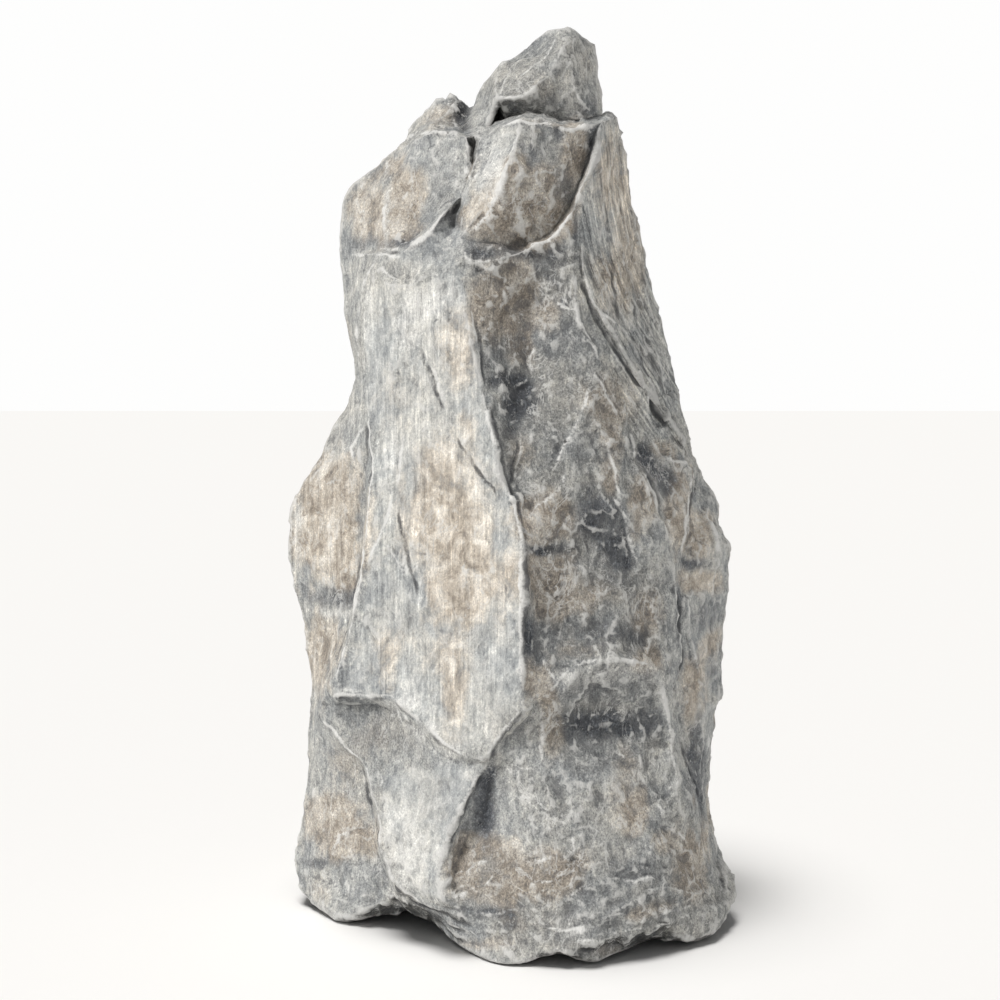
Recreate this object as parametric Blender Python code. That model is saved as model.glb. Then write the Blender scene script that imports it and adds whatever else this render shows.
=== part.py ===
"""A natural standing boulder: one weathered block of banded grey stone, metres, +Z up, front towards -Y."""

import math

import bpy
from mathutils import Vector, noise
from mathutils.geometry import delaunay_2d_cdt

# ---------------------------------------------------------------------------
# Driving dimensions
# ---------------------------------------------------------------------------
NAME = "boulder"
COLLECTION = "standing_boulder"
FRONT_EDGE = 0.037     # longest mesh edge on the front, metres
BACK_EDGE = 0.060       # longest mesh edge round the back and underneath
RELAX_ROUNDS = 5        # rounds that ease the facets between the arrises
RELAX_STEP = 0.5
CHIP_DEPTH = 0.0045     # depth of the broad chips added over every face
CHIP_SIZE = 0.085       # their size
BACK_CHIPS = 2.1        # how much deeper they are on the far side
EDGE_CLEARANCE = 0.008       # the rim of the foot stands this far off the ground
STONE_COLOUR = (0.36, 0.37, 0.385, 1.0)
STONE_ROUGHNESS = 0.82

# ---------------------------------------------------------------------------
# The knots of the stone.
#
# Every knot is (h, v, d).  h and v are where it lies in the photograph's
# 1000 x 1000 frame, across and down.  d is how far back it lies, in
# centimetres, and is negative towards the viewer.  `sight` turns a knot into
# metres; the eye point, the frame's distance and the dip of the view fix it.
# ---------------------------------------------------------------------------
STATION = Vector((-0.026, -2.615, 0.884))   # eye point, metres
PLANE = 1500.0                              # distance of the frame, in its own pixels
DIP = math.atan2(100.0, 1500.0)             # the view dips this far below level


def sight(h, v, d):
    ahead = Vector((0.0, math.cos(DIP), -math.sin(DIP)))
    up = Vector((0.0, math.sin(DIP), math.cos(DIP)))
    ray = ahead * PLANE + Vector((h - 500.0, 0.0, 0.0)) + up * (500.0 - v)
    return STATION + ray * ((d / 100.0 - STATION.y) / ray.y)


# The outline: peak, left side, base, right side, and back to the peak.
OUTLINE = [
    (570, 29, -2), (559, 31, -3), (548, 32, -2), (536, 39, 0), (524, 52, 0),
    (510, 59, 0), (502, 62, -1), (494, 72, 0), (484, 83, 1), (477, 96, 2),
    (473, 105, 3), (466, 104, 4), (459, 99, 5), (450, 95, 4), (446, 100, 4),
    (434, 103, 5), (424, 110, 5), (415, 118, 6), (409, 128, 6), (404, 142, 4),
    (396, 147, -1), (388, 154, 0), (376, 169, 2), (362, 179, 3), (353, 184, 4),
    (347, 195, 5), (343, 207, 6), (341, 228, 7), (341, 246, 7), (341, 250, 7), (343, 290, 7),
    (346, 315, 6), (351, 340, 5), (356, 365, 4), (357, 378, 3), (351, 398, 3),
    (342, 414, 4), (332, 432, 5), (322, 452, 5), (309, 473, 5), (300, 488, 5),
    (292, 508, 5), (288, 535, 5), (289, 560, 5), (293, 590, 4), (299, 606, 4),
    (305, 625, 4), (309, 655, 4), (312, 690, 4), (310, 715, 4), (308, 745, 3),
    (309, 764, 3), (306, 790, 2), (304, 820, 1), (298, 840, 1), (297, 860, 1),
    (299, 880, 0), (304, 893, -2), (313, 903, -4), (325, 911, -7),
    (335, 920, -10.2), (347, 922, -10.8), (362, 919, -10.6), (375, 915.5, -10.4),
    (386, 916, -11), (397, 919, -11.5), (403, 917, -11.5), (410, 915, -11.6),
    (418, 917, -12), (430, 923, -14.5), (440, 928.5, -16.4), (450, 938, -20),
    (462, 947, -23), (475, 955, -26), (490, 961, -28.8), (505, 965, -30.2),
    (520, 964, -30.5), (532, 959, -30.2), (545, 956, -30), (556, 955, -30),
    (567, 955, -29.8), (577, 958, -29.7), (588, 962, -29.6), (598, 962, -29.6),
    (610, 959, -28.3), (622, 955, -26.6), (635, 950, -24.6), (645, 945, -22.8),
    (660, 942, -22.4), (680, 942, -22), (697, 941, -20.8), (710, 934.5, -19.2),
    (722, 922, -16), (730, 905, -13), (732, 893, -10), (729, 878, -8),
    (724, 865, -6), (716, 850, -4), (711, 838, -3), (709, 820, -2),
    (706, 795, -1), (708, 770, -1), (710, 745, -1), (715, 725, 0),
    (718, 700, 0), (719, 680, 0), (721, 650, 1), (723, 615, 1), (725, 590, 1),
    (728, 565, 1), (729, 557, 1), (725, 540, 2), (720, 525, 2), (719, 503, 3),
    (710, 490, 3), (703, 478, 4), (698, 465, 4), (694, 450, 5), (691, 432, 6),
    (688, 423, 6), (681, 412, 7), (678, 390, 8), (673, 360, 8), (667, 343, 9),
    (660, 325, 9), (654, 303, 9), (647, 270, 9), (640, 243, 9), (634, 222, 9),
    (631, 205, 9), (629, 190, 9), (625, 160, 9), (622, 140, 8), (620, 125, 8),
    (618, 117, 7), (612, 112, 7), (606, 112, 7), (602, 115, 4), (601, 100, 2),
    (599, 80, 2), (597, 62, 2), (594, 45, 1), (588, 38, 0), (580, 32, -1),
]

# Arrises, lips and creases of the face towards the station:
# (name, sharpness, knots).
FACE_LINES = [
    # the peak and what stands beside it
    ("peak_arris", 1.0, [(580, 32, -1), (572, 42, -5), (563, 47, -6), (556, 62, -7.5),
                         (549, 76, -8.5), (541, 82, -9.5), (524, 96, -10.5),
                         (512, 98, -10), (500, 100, -9.5)]),
    ("peak_right", 0.7, [(563, 47, -6), (570, 68, -6.5), (574, 88, -7), (580, 102, -7),
                         (590, 113, -5)]),
    ("peak_cap", 0.6, [(572, 42, -5), (582, 46, -3), (594, 45, 1)]),
    ("peak_foot", 0.8, [(505, 121, -4), (513, 118, -5), (520, 113.5, -6),
                        (530, 116.5, -6), (542, 117.5, -6), (553, 119, -6),
                        (566, 123, -6), (575, 124, -5.5), (588, 121, -4), (597, 119, -1)]),
    ("pillar_top", 0.8, [(502, 62, -1), (497, 74, -4), (494, 90, -7), (497, 101, -8.5),
                         (492, 117, -7.5), (487, 132, -6.5)]),
    ("pillar_top_b", 0.8, [(497, 101, -8.5), (500, 100, -9.5)]),
    ("pillar_left", 0.8, [(473, 105, 3), (467, 120, 0), (459, 130.5, -2)]),
    ("pillar_foot", 0.7, [(459, 130.5, -2), (468, 134.5, -5), (474, 131.5, -6),
                          (481, 134.5, -6.5), (487, 132, -6.5)]),
    ("void_left", 0.8, [(500, 100, -9.5), (499.5, 106, -2), (496, 118, 0), (493, 128, -2),
                        (487, 132, -6.5)]),
    ("void_right", 0.8, [(500, 100, -9.5), (504, 106, -8), (505, 121, -4), (498, 122, -1),
                         (493, 128, -2)]),
    ("horn", 1.0, [(450, 95, 4), (452.5, 110, 1), (457, 129, -2)]),
    ("horn_foot", 0.7, [(404, 142, 4), (417, 137, 0), (432, 127, -2), (445, 128, -2.5),
                        (457, 129, -2), (459, 130.5, -2)]),
    # lip along the top of the two upper blocks
    ("left_block_top", 1.0, [(396, 147, -1), (404, 145.5, -3), (416, 140.5, -6),
                             (425, 133, -8), (433, 130, -9), (445, 131, -9.5),
                             (457, 133, -10.3), (466, 138, -11)]),
    ("bridge_top", 0.9, [(466, 138, -11), (474, 135, -10.5), (481, 138.5, -11.5)]),
    ("right_block_top", 1.0, [(481, 138.5, -11.5), (488, 134.5, -12.5), (497, 125, -13.5),
                              (505, 126, -14.3), (512, 122, -15.5), (520, 117.5, -17),
                              (530, 121, -17), (542, 122, -16.7), (553, 123.5, -16.3),
                              (566, 128.5, -15.5), (573, 130, -15), (586, 127, -14.3),
                              (599, 124, -13)]),
    ("shoulder_top", 0.9, [(599, 124, -13), (605, 120.5, -9), (611, 118, -3), (612, 112, 7)]),
    ("notch", 0.8, [(597, 119, -1), (602, 119.5, 1), (606, 112, 7)]),
    ("shoulder_inner", 0.8, [(597, 119, -1), (600, 121, -4), (605, 120.5, -9)]),
    # left upper block
    ("left_block_arris", 0.55, [(388, 154, 0), (388, 185, -5), (386, 212, -7), (384, 240, -8.3),
                                (382, 250.2, -8.6), (380, 254, -9.5)]),
    ("left_block_right", 1.0, [(466, 138, -11), (467, 152, -11.5), (469, 166, -12),
                               (471, 178, -12.5), (462, 197, -13.5)]),
    ("crevice", 0.8, [(466, 138, -11), (472, 148, -6.5), (474, 163, -6.5), (472, 176, -9),
                      (471, 178, -12.5)]),
    ("crevice_right", 1.0, [(481, 138.5, -11.5), (479, 150, -12.5), (477, 165, -13.5),
                            (472, 179, -14), (466, 195, -15), (463, 210, -15.5),
                            (460, 233, -16.5)]),
    ("left_block_foot", 0.8, [(341, 246, 7), (362, 250, -0.5), (376, 250, -6), (382, 250.2, -8.6), (388, 250.5, -9),
                              (400, 248, -11), (415, 238, -11.5), (425, 230, -12),
                              (436, 215, -12), (447, 204, -12), (462, 197, -13.5)]),
    ("ledge_lip", 1.0, [(341, 250, 7), (362, 254, -3), (380, 254, -9.5), (392, 257, -13),
                        (405, 252.5, -14.7), (422, 241, -16), (432, 232, -16),
                        (440, 219, -15.5), (450, 207.5, -14.8), (462, 197, -13.5)]),
    ("pocket", 0.9, [(462, 197, -13.5), (459, 205, -12), (452, 215, -13), (455, 228, -13.5),
                     (460, 233, -16.5)]),
    # right upper block: bright facet, dark facet, scoop, lip under it
    ("block_arris", 1.0, [(520, 117.5, -17), (517, 140, -17.5), (513, 152, -18),
                          (505, 170, -18.3), (499, 187, -18.5), (498, 198, -18.3),
                          (483, 210, -17.8), (470, 225, -17.3), (460, 238, -17)]),
    ("pocket_end", 0.9, [(460, 233, -16.5), (460, 238, -17)]),
    ("flute", 0.8, [(599, 124, -13), (592, 140, -10.5), (591, 158, -10.3), (585, 178, -10.5),
                    (576, 197, -11), (569, 209, -11.5)]),
    ("flute_edge", 1.0, [(599, 124, -13), (597, 140, -13), (594, 160, -13.3), (588, 176, -13.8),
                         (579, 192, -14.3), (575, 207, -14.8), (572, 212.5, -15)]),
    ("scoop_crease", 0.9, [(569, 209, -11.5), (562, 217, -12), (552, 234, -12.8),
                           (540, 240, -13.3), (526, 247, -14), (510, 247, -15),
                           (490, 244, -15.7), (472, 242, -16.3), (460, 238, -17)]),
    ("scoop_lip", 1.0, [(572, 212.5, -15), (565, 222, -15.5), (555, 236, -16.3),
                        (542, 242.5, -17), (527, 250, -17.5)]),
    ("scoop_lip_left", 0.6, [(527, 250, -17.5), (510, 255, -17.8), (490, 260, -18.3),
                             (474, 262, -18.8), (461, 262, -19.3)]),
    ("neck", 0.7, [(460, 238, -17), (461, 250, -18), (461, 262, -19.3)]),
    # step under the left ledge
    ("step_lip", 0.9, [(373, 266, -10), (380, 277, -12), (388, 283, -15), (400, 286, -16.5),
                       (415, 284, -17.5), (420, 277, -18), (432, 275, -18.3),
                       (446, 270, -18.8), (461, 262, -19.3)]),
    ("step_crease", 0.7, [(380, 254, -9.5), (387, 262, -12.5), (388, 276, -13),
                          (399, 282, -14.5), (414, 280, -15.3), (420, 272, -16.5),
                          (434, 262, -17), (446, 256, -17.3), (461, 250, -18)]),
    # the long arris down the middle
    ("spine", 1.0, [(461, 262, -19.3), (463, 285, -19.7), (466, 310, -20.2), (469, 335, -20.7),
                    (474, 355, -21.3), (478, 370, -21.8), (481, 385, -22.2),
                    (485, 405, -22.8), (490, 418, -23.3), (495, 433, -23.8),
                    (498, 448, -24.2), (499, 465, -24.5), (500, 479, -24.8),
                    (507, 488, -25), (512, 502, -25.4), (519, 517, -25.9),
                    (523, 532, -26.4), (524, 545, -26.9), (524, 575, -27.5),
                    (524, 605, -28), (523, 640, -28.4), (523, 680, -28.5),
                    (523, 713, -28.3)]),
    ("trough", 0.35, [(533, 262, -15.8), (532, 290, -15.3), (528, 320, -15.3),
                      (530, 345, -15.4), (522, 375, -16.3), (512, 398, -18.3),
                      (507, 425, -20.5), (509, 455, -21.5), (512, 480, -22.5)]),
    # left edge of the long plate
    ("plate_left_top", 0.55, [(373, 266, -10), (366, 284, -9.5), (362, 300, -8.5), (360, 330, -7.5),
                              (360, 360, -7.5), (361, 385, -8), (366, 410, -9),
                              (369, 436, -10)]),
    ("plate_left", 1.0, [(369, 436, -10), (370, 470, -11.5), (368, 500, -12.5),
                         (365, 530, -13.3), (364, 560, -13.8), (360, 585, -13.8),
                         (356, 608, -13.5), (350, 630, -13.3), (344, 655, -13.2),
                         (338, 673, -13), (334, 683, -11.5)]),
    ("plate_left_foot", 0.8, [(369, 436, -10), (367, 470, -7.5), (364.5, 500, -7.5),
                              (361.5, 530, -8), (360, 560, -8.5), (356, 585, -8.8),
                              (352, 606, -8.8), (346, 628, -8.8), (340, 652, -8.8),
                              (334, 671, -9), (334, 683, -11.5)]),
    # lower end of the long plate: lip and the undercut below it
    ("plate_end_left", 0.9, [(338, 673, -13), (339, 684, -13.3), (340, 695, -13.5)]),
    ("plate_lip", 1.0, [(340, 695, -13.5), (355, 696, -14.5), (370, 697, -15.5),
                        (385, 697, -17), (396, 701, -18.5), (405, 707, -19.7),
                        (414, 714, -20.5), (424, 723, -21.5), (435, 737, -22.7),
                        (447, 748, -23.8), (460, 756, -24.8), (475, 758, -25.8),
                        (489, 756, -26.8), (500, 741, -27.3), (512, 725, -27.9),
                        (523, 713, -28.3)]),
    ("plate_under", 0.8, [(340, 695, -13.5), (345, 702, -10.5), (357, 702, -10.8), (370, 703, -11.6),
                          (384, 704, -13), (396, 711, -15.5), (406, 717, -17),
                          (420, 729, -18.8), (433, 743, -20.3), (446, 753.5, -22),
                          (460, 761, -23.6), (475, 763, -24.8), (488, 762, -25.6)]),
    ("plate_under_end", 0.8, [(488, 762, -25.6), (503, 745, -25), (515, 729, -25.3),
                              (528, 716, -26), (538, 710, -26.5)]),
    # the ridge running down the left of the undercut, and the leg's left edge
    ("strap", 0.9, [(334, 683, -11.5), (327, 694, -9), (319, 706, -6.5), (314, 716, -4)]),
    ("strap_in", 0.7, [(340, 695, -13.5), (334, 706, -10.5), (333, 720, -9)]),
    ("leg_left", 1.0, [(317, 718, -5), (330, 731, -8), (340, 743, -9.5), (352, 753, -11),
                       (362, 760, -12.3), (368, 769, -13.3), (370, 786, -14.3),
                       (378, 808, -16), (380, 830, -17), (380, 846, -17.5),
                       (388, 862, -18.3), (395, 878, -19), (405, 889, -20),
                       (420, 900, -21.5), (435, 907, -23), (448, 913, -24.5),
                       (463, 918, -26), (478, 922, -27), (492, 931, -28),
                       (506, 937, -29), (520, 945, -29.7), (527, 951, -30)]),
    ("leg_left_foot", 0.8, [(362, 760, -12.3), (364, 771, -10.5), (366, 788, -10.3),
                            (374, 810, -11), (376, 832, -11.8), (376.5, 848, -12.2),
                            (384, 865, -13), (391, 881, -13.8), (397, 892, -14.3)]),
    ("leg_under", 0.6, [(397, 892, -14.3), (398, 905, -13.2), (397, 919, -11.5)]),
    ("foot_edge", 0.8, [(325, 911, -7), (336, 917, -10.5), (347, 917, -11.6), (360, 912.5, -12.8),
                        (375, 907.5, -13.4), (388, 902, -14), (397, 892, -14.3)]),
    # right edge of the leg
    ("leg_right", 1.0, [(488, 762, -25.6), (480, 775, -25.8), (472, 790, -26), (465, 802, -26),
                        (458, 815, -26), (451, 827, -26), (446, 842, -26),
                        (441, 860, -26), (438, 880, -25.8), (438, 893, -25.5),
                        (445, 904, -25), (455, 914.5, -25.2)]),
    ("leg_shadow", 0.6, [(488, 762, -25.6), (490, 775, -23.5), (487, 795, -22.5),
                         (480, 815, -22.8), (470, 835, -23.5), (458, 858, -24.5),
                         (450, 880, -25)]),
    ("nose_top", 0.6, [(455, 914.5, -25.2), (463, 918, -26)]),
    ("nose_left", 0.7, [(448, 913, -24.5), (452, 925, -23), (450, 938, -20)]),
    # right face above the arch
    ("chip_low", 0.8, [(500, 479, -24.8), (512, 480, -22.5), (525, 500, -24.3), (527, 521, -25.6),
                       (523, 532, -26.4)]),
    ("chip_top", 0.8, [(527, 521, -25.6), (540, 500, -24), (551, 485, -22.8), (560, 462, -21.8),
                       (572, 436, -20), (577, 415, -19), (580, 398, -18)]),
    ("brow", 0.5, [(527, 521, -25.6), (531, 538, -25.3), (540, 551, -23.4), (558, 552, -22.6),
                   (578, 550, -21.8)]),
    ("spine_shadow", 0.5, [(540, 551, -23.4), (533, 575, -24.8), (532, 605, -24.8),
                           (533, 635, -24.8), (537, 662, -26.6), (534, 680, -26.2),
                           (534, 700, -26.3), (538, 710, -26.5)]),
    ("arch_spur", 0.8, [(523, 649, -28.3), (537, 662, -26.6), (546, 671, -26.6), (556, 684, -26.3)]),
    ("arch", 0.95, [(538, 710, -26.5), (541, 699, -26.8), (548, 691, -26.6), (556, 684, -26.3),
                    (572, 676, -25.8), (588, 667, -25.2), (604, 661, -24.6),
                    (622, 662, -23.7), (641, 668, -22), (655, 672, -20.5),
                    (660, 683, -19.5)]),
    ("arch_deep", 0.4, [(545, 742, -25.2), (562, 745, -23.8), (585, 746, -22.6), (610, 746, -21.7),
                        (638, 743, -20), (655, 740, -18.8), (668, 738, -17.8)]),
    ("arch_right", 1.0, [(660, 683, -19.5), (664, 698, -19.6), (669, 716, -19), (672, 738, -18.8),
                         (676, 764, -18.8), (683, 786, -18.5), (692, 802, -17.5),
                         (697, 820, -16.8), (698, 838, -16.6)]),
    ("arch_right_foot", 0.7, [(660, 683, -19.5), (669, 700, -16.5), (675, 718, -15),
                              (680, 740, -13.5), (685, 768, -12.5), (693, 790, -11.5),
                              (700, 808, -10.5), (703, 826, -9.8), (704, 842, -10)]),
    # the side face with its crack and the slab above it
    ("side_arris", 0.8, [(572, 212.5, -15), (573, 240, -15.5), (573, 262, -16), (576, 290, -16.5),
                         (578, 318, -17), (588, 334, -16.7), (599, 350, -16.3),
                         (606, 370, -16), (612, 393, -15.8), (621, 428, -15.5),
                         (631, 455, -15.3), (641, 475, -15.2)]),
    ("crack_low", 0.9, [(579, 240, -14.2), (580, 262, -14.6), (584, 281, -14.8), (591, 300, -14.6), (601, 319, -14),
                        (611, 334, -13.2), (621, 352, -12.2), (632, 370, -11),
                        (641, 385, -9.8), (651, 399, -8.2), (661, 413, -6.3),
                        (669, 428, -4.5), (677, 442, -2.8), (686, 456, -0.8)]),
    ("crack_high", 1.0, [(579, 240, -14.2), (582.5, 262, -15), (587, 281, -15.4), (594, 299, -15.3),
                         (604, 317.5, -14.8), (614, 332.5, -14), (624, 350, -13),
                         (635, 368, -11.8), (644, 383, -10.6), (654, 397, -9),
                         (664, 411, -7), (672, 426, -5.1), (680, 440, -3.2),
                         (686, 456, -0.8)]),
    ("side_ridge", 0.9, [(641, 475, -15.2), (652, 495, -14.8), (662, 517, -14), (667, 538, -13.5),
                         (671, 560, -13.3), (674, 580, -13.3), (671, 602, -14),
                         (670, 630, -14.8), (668, 655, -16.2), (664, 672, -18),
                         (660, 683, -19.5)]),
    ("side_brow", 0.9, [(653, 445, -9.5), (661, 462, -9), (676, 465, -6.3), (692, 469, -3)]),
    ("rib", 1.0, [(692, 469, -3), (690, 487, -5), (686, 506, -7), (683, 526, -8.3),
                  (680, 545, -9.5), (678, 562, -10.3), (681, 582, -10.3),
                  (685, 605, -9.8), (688, 628, -9.3), (686, 650, -9.8),
                  (683, 672, -10.8), (679, 700, -12.8),
                  (675, 718, -15)]),
    ("rib_groove", 0.6, [(694, 480, -1), (692, 510, -3.5), (690, 540, -5), (692, 563, -6)]),
    ("knob", 0.8, [(698, 497, 0.5), (704, 514, -2), (711, 528, -3.5), (716, 545, -3.8),
                   (714, 560, -4.2), (700, 575, -5.5)]),
    ("groove", 0.7, [(676, 590, -12), (678, 615, -10.8), (677, 645, -11), (673, 670, -13.5),
                     (669, 688, -16.3)]),
    # lip along the foot of the right side and the facet tucked under it
    ("foot_lip", 0.9, [(527, 951, -30), (545, 953, -30.8), (562, 951.5, -31.2), (575, 948, -31.2),
                       (592, 942, -30.8), (612, 939, -29.8), (635, 938, -28),
                       (648, 935, -26.5), (656, 933.5, -25.3), (670, 937, -24),
                       (686, 939, -22.5), (697, 937, -21.5), (712, 930, -19.6),
                       (722, 915, -17.3), (727, 900, -14.6)]),
    ("under_break", 0.7, [(567, 955, -29.8), (580, 951, -30), (592, 947, -29.8),
                          (612, 943, -28.8), (614, 950, -27.6), (622, 955, -26.6)]),
    ("nose_seam", 0.8, [(527, 951, -30), (526, 957, -29.8), (532, 959, -30.2)]),
]

# Single knots on the swelling parts of the faces.
FACE_KNOTS = [
    # peak
    (548, 55, -5.5), (530, 68, -7), (512, 80, -7.5), (508, 92, -8.5), (520, 108, -8.3),
    (545, 102, -8.5), (560, 84, -7.3), (556, 108, -7.3), (586, 72, -4), (592, 96, -3.5),
    (482, 100, -2), (477, 122, -4), (463, 112, 2), (430, 116, 2), (440, 112, 1.5),
    # left block
    (366, 200, 0), (360, 230, 1), (408, 165, -6), (430, 160, -9.5), (450, 160, -11),
    (410, 200, -9), (435, 190, -11.3), (405, 232, -9.8), (452, 182, -12),
    # right block
    (496, 145, -14.5), (488, 165, -15.3), (488, 190, -16.3), (475, 205, -16.5),
    (540, 140, -16.3), (565, 145, -14.6), (532, 165, -17), (560, 175, -14.8),
    (515, 200, -17.8), (540, 205, -16.8), (560, 203, -13.8), (500, 222, -17.8),
    (525, 225, -17.2), (480, 232, -17.3),
    # shoulder and side face
    (608, 150, -5.5), (600, 180, -9), (612, 210, -5), (592, 215, -12), (610, 250, -6.5),
    (630, 260, 1.5), (625, 300, -3.5), (640, 300, 1.5), (610, 290, -9.5), (640, 350, -2.5),
    (655, 350, 2.5), (660, 390, 0), (668, 400, 2.5), (680, 428, 1.5),
    # below the left ledge
    (405, 268, -14.5), (440, 245, -16.5), (362, 268, -4), (352, 300, 2), (353, 340, 1),
    # long plate
    (385, 320, -12.5), (410, 320, -15.5), (440, 310, -18), (385, 380, -12), (410, 390, -15),
    (440, 380, -18.3), (462, 390, -20.6), (395, 440, -14.2), (425, 450, -17.4),
    (465, 450, -21.3), (385, 500, -14.8), (410, 520, -17), (440, 520, -19.5),
    (480, 520, -23), (390, 560, -16.2), (430, 590, -19.6), (480, 590, -24),
    (385, 630, -16), (420, 650, -19.3), (470, 650, -24), (370, 670, -15.4),
    (420, 690, -20.2), (470, 710, -24.8), (500, 690, -27),
    # left swelling
    (352, 420, -2.5), (350, 445, -4), (335, 470, -1.5), (350, 490, -4.5), (315, 500, 1),
    (335, 520, -3.5), (310, 545, 1), (335, 560, -4.5), (315, 580, 0), (340, 590, -5.5),
    (325, 610, -1), (328, 640, -2), (322, 670, -2), (318, 690, -1.5),
    # left column
    (322, 735, -3), (320, 770, -2.5), (345, 775, -7), (318, 810, -3.5), (350, 815, -8.5),
    (315, 850, -3), (345, 850, -9), (320, 885, -5), (355, 885, -11), (375, 870, -12),
    # undercut and leg
    (350, 730, -9.5), (375, 730, -12.3), (400, 745, -16), (385, 765, -14.6),
    (420, 770, -19.5), (450, 785, -23.5), (400, 810, -18.3), (430, 820, -22.5),
    (405, 850, -19.8), (425, 870, -23), (415, 888, -21.5), (410, 903, -15.5),
    (430, 915, -18.5), (445, 925, -20.5),
    # nose
    (470, 932, -26), (490, 945, -29), (510, 952, -30.3), (540, 955.2, -30.5),
    # brown face right of the spine
    (490, 300, -18.3), (505, 285, -17.7), (500, 330, -18.2), (492, 360, -19.3),
    (550, 270, -16), (556, 300, -16.6), (553, 340, -17.2), (575, 345, -16.9),
    (545, 380, -18.2), (575, 375, -17.3), (530, 410, -19), (555, 420, -19.6),
    (530, 450, -21), (545, 470, -22.2), (530, 485, -23.4), (595, 380, -16.8),
    (598, 410, -17.2), (600, 445, -17.8), (580, 470, -20.3), (605, 480, -19.5),
    (625, 480, -17.3), (575, 500, -22), (600, 520, -20.7), (625, 515, -18.9),
    (555, 530, -23.5), (600, 550, -20.9), (625, 550, -18.8), (645, 540, -16.6),
    (560, 580, -24), (590, 580, -22.3), (625, 585, -19.3), (650, 590, -16.8),
    (560, 620, -24.2), (600, 615, -22.4), (640, 620, -18.6), (570, 650, -25),
    (610, 645, -23.2), (645, 650, -19.6),
    # strip between the side arris and the crack
    (600, 333, -15.4), (622, 380, -13.4), (640, 412, -11), (655, 435, -8), (645, 455, -11.5),
    (668, 450, -6),
    # light facet under the brow
    (655, 480, -11.3), (670, 485, -8.5), (674, 515, -9.8), (672, 545, -11.5),
    # knob and strip below it
    (705, 500, 1.5), (701, 535, -4.3), (720, 555, -1.5), (700, 600, -6.8), (714, 600, -2.3),
    (702, 640, -6.5), (700, 680, -7.3), (710, 700, -3.3), (695, 715, -8.3), (695, 745, -8.3),
    (699, 775, -7.3), (704, 800, -5.3),
    # under the arch
    (560, 700, -25.4), (585, 685, -24.2), (610, 680, -23.2), (640, 688, -20.7),
    (565, 722, -24.5), (595, 715, -22.9), (625, 712, -21.3), (650, 712, -19.6),
    # lower right swelling
    (515, 750, -26), (530, 735, -26.3), (510, 790, -26), (535, 780, -27), (560, 775, -25.8),
    (600, 775, -24.3), (640, 775, -22), (510, 830, -26.8), (540, 820, -28.2),
    (580, 810, -27.2), (620, 810, -25.5), (660, 805, -22), (500, 865, -27.8),
    (540, 865, -29.5), (585, 860, -28.7), (630, 860, -26.6), (670, 860, -22.7),
    (690, 865, -18.5), (706, 865, -13), (716, 880, -11), (480, 890, -27.5),
    (520, 905, -30), (565, 910, -31), (610, 905, -29.8), (650, 905, -27.3),
    (685, 900, -23), (708, 900, -18.5), (540, 935, -31), (580, 932, -31.5),
    (620, 925, -30), (655, 920, -27.5), (690, 922, -23.3), (590, 953, -29.6),
]

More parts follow.
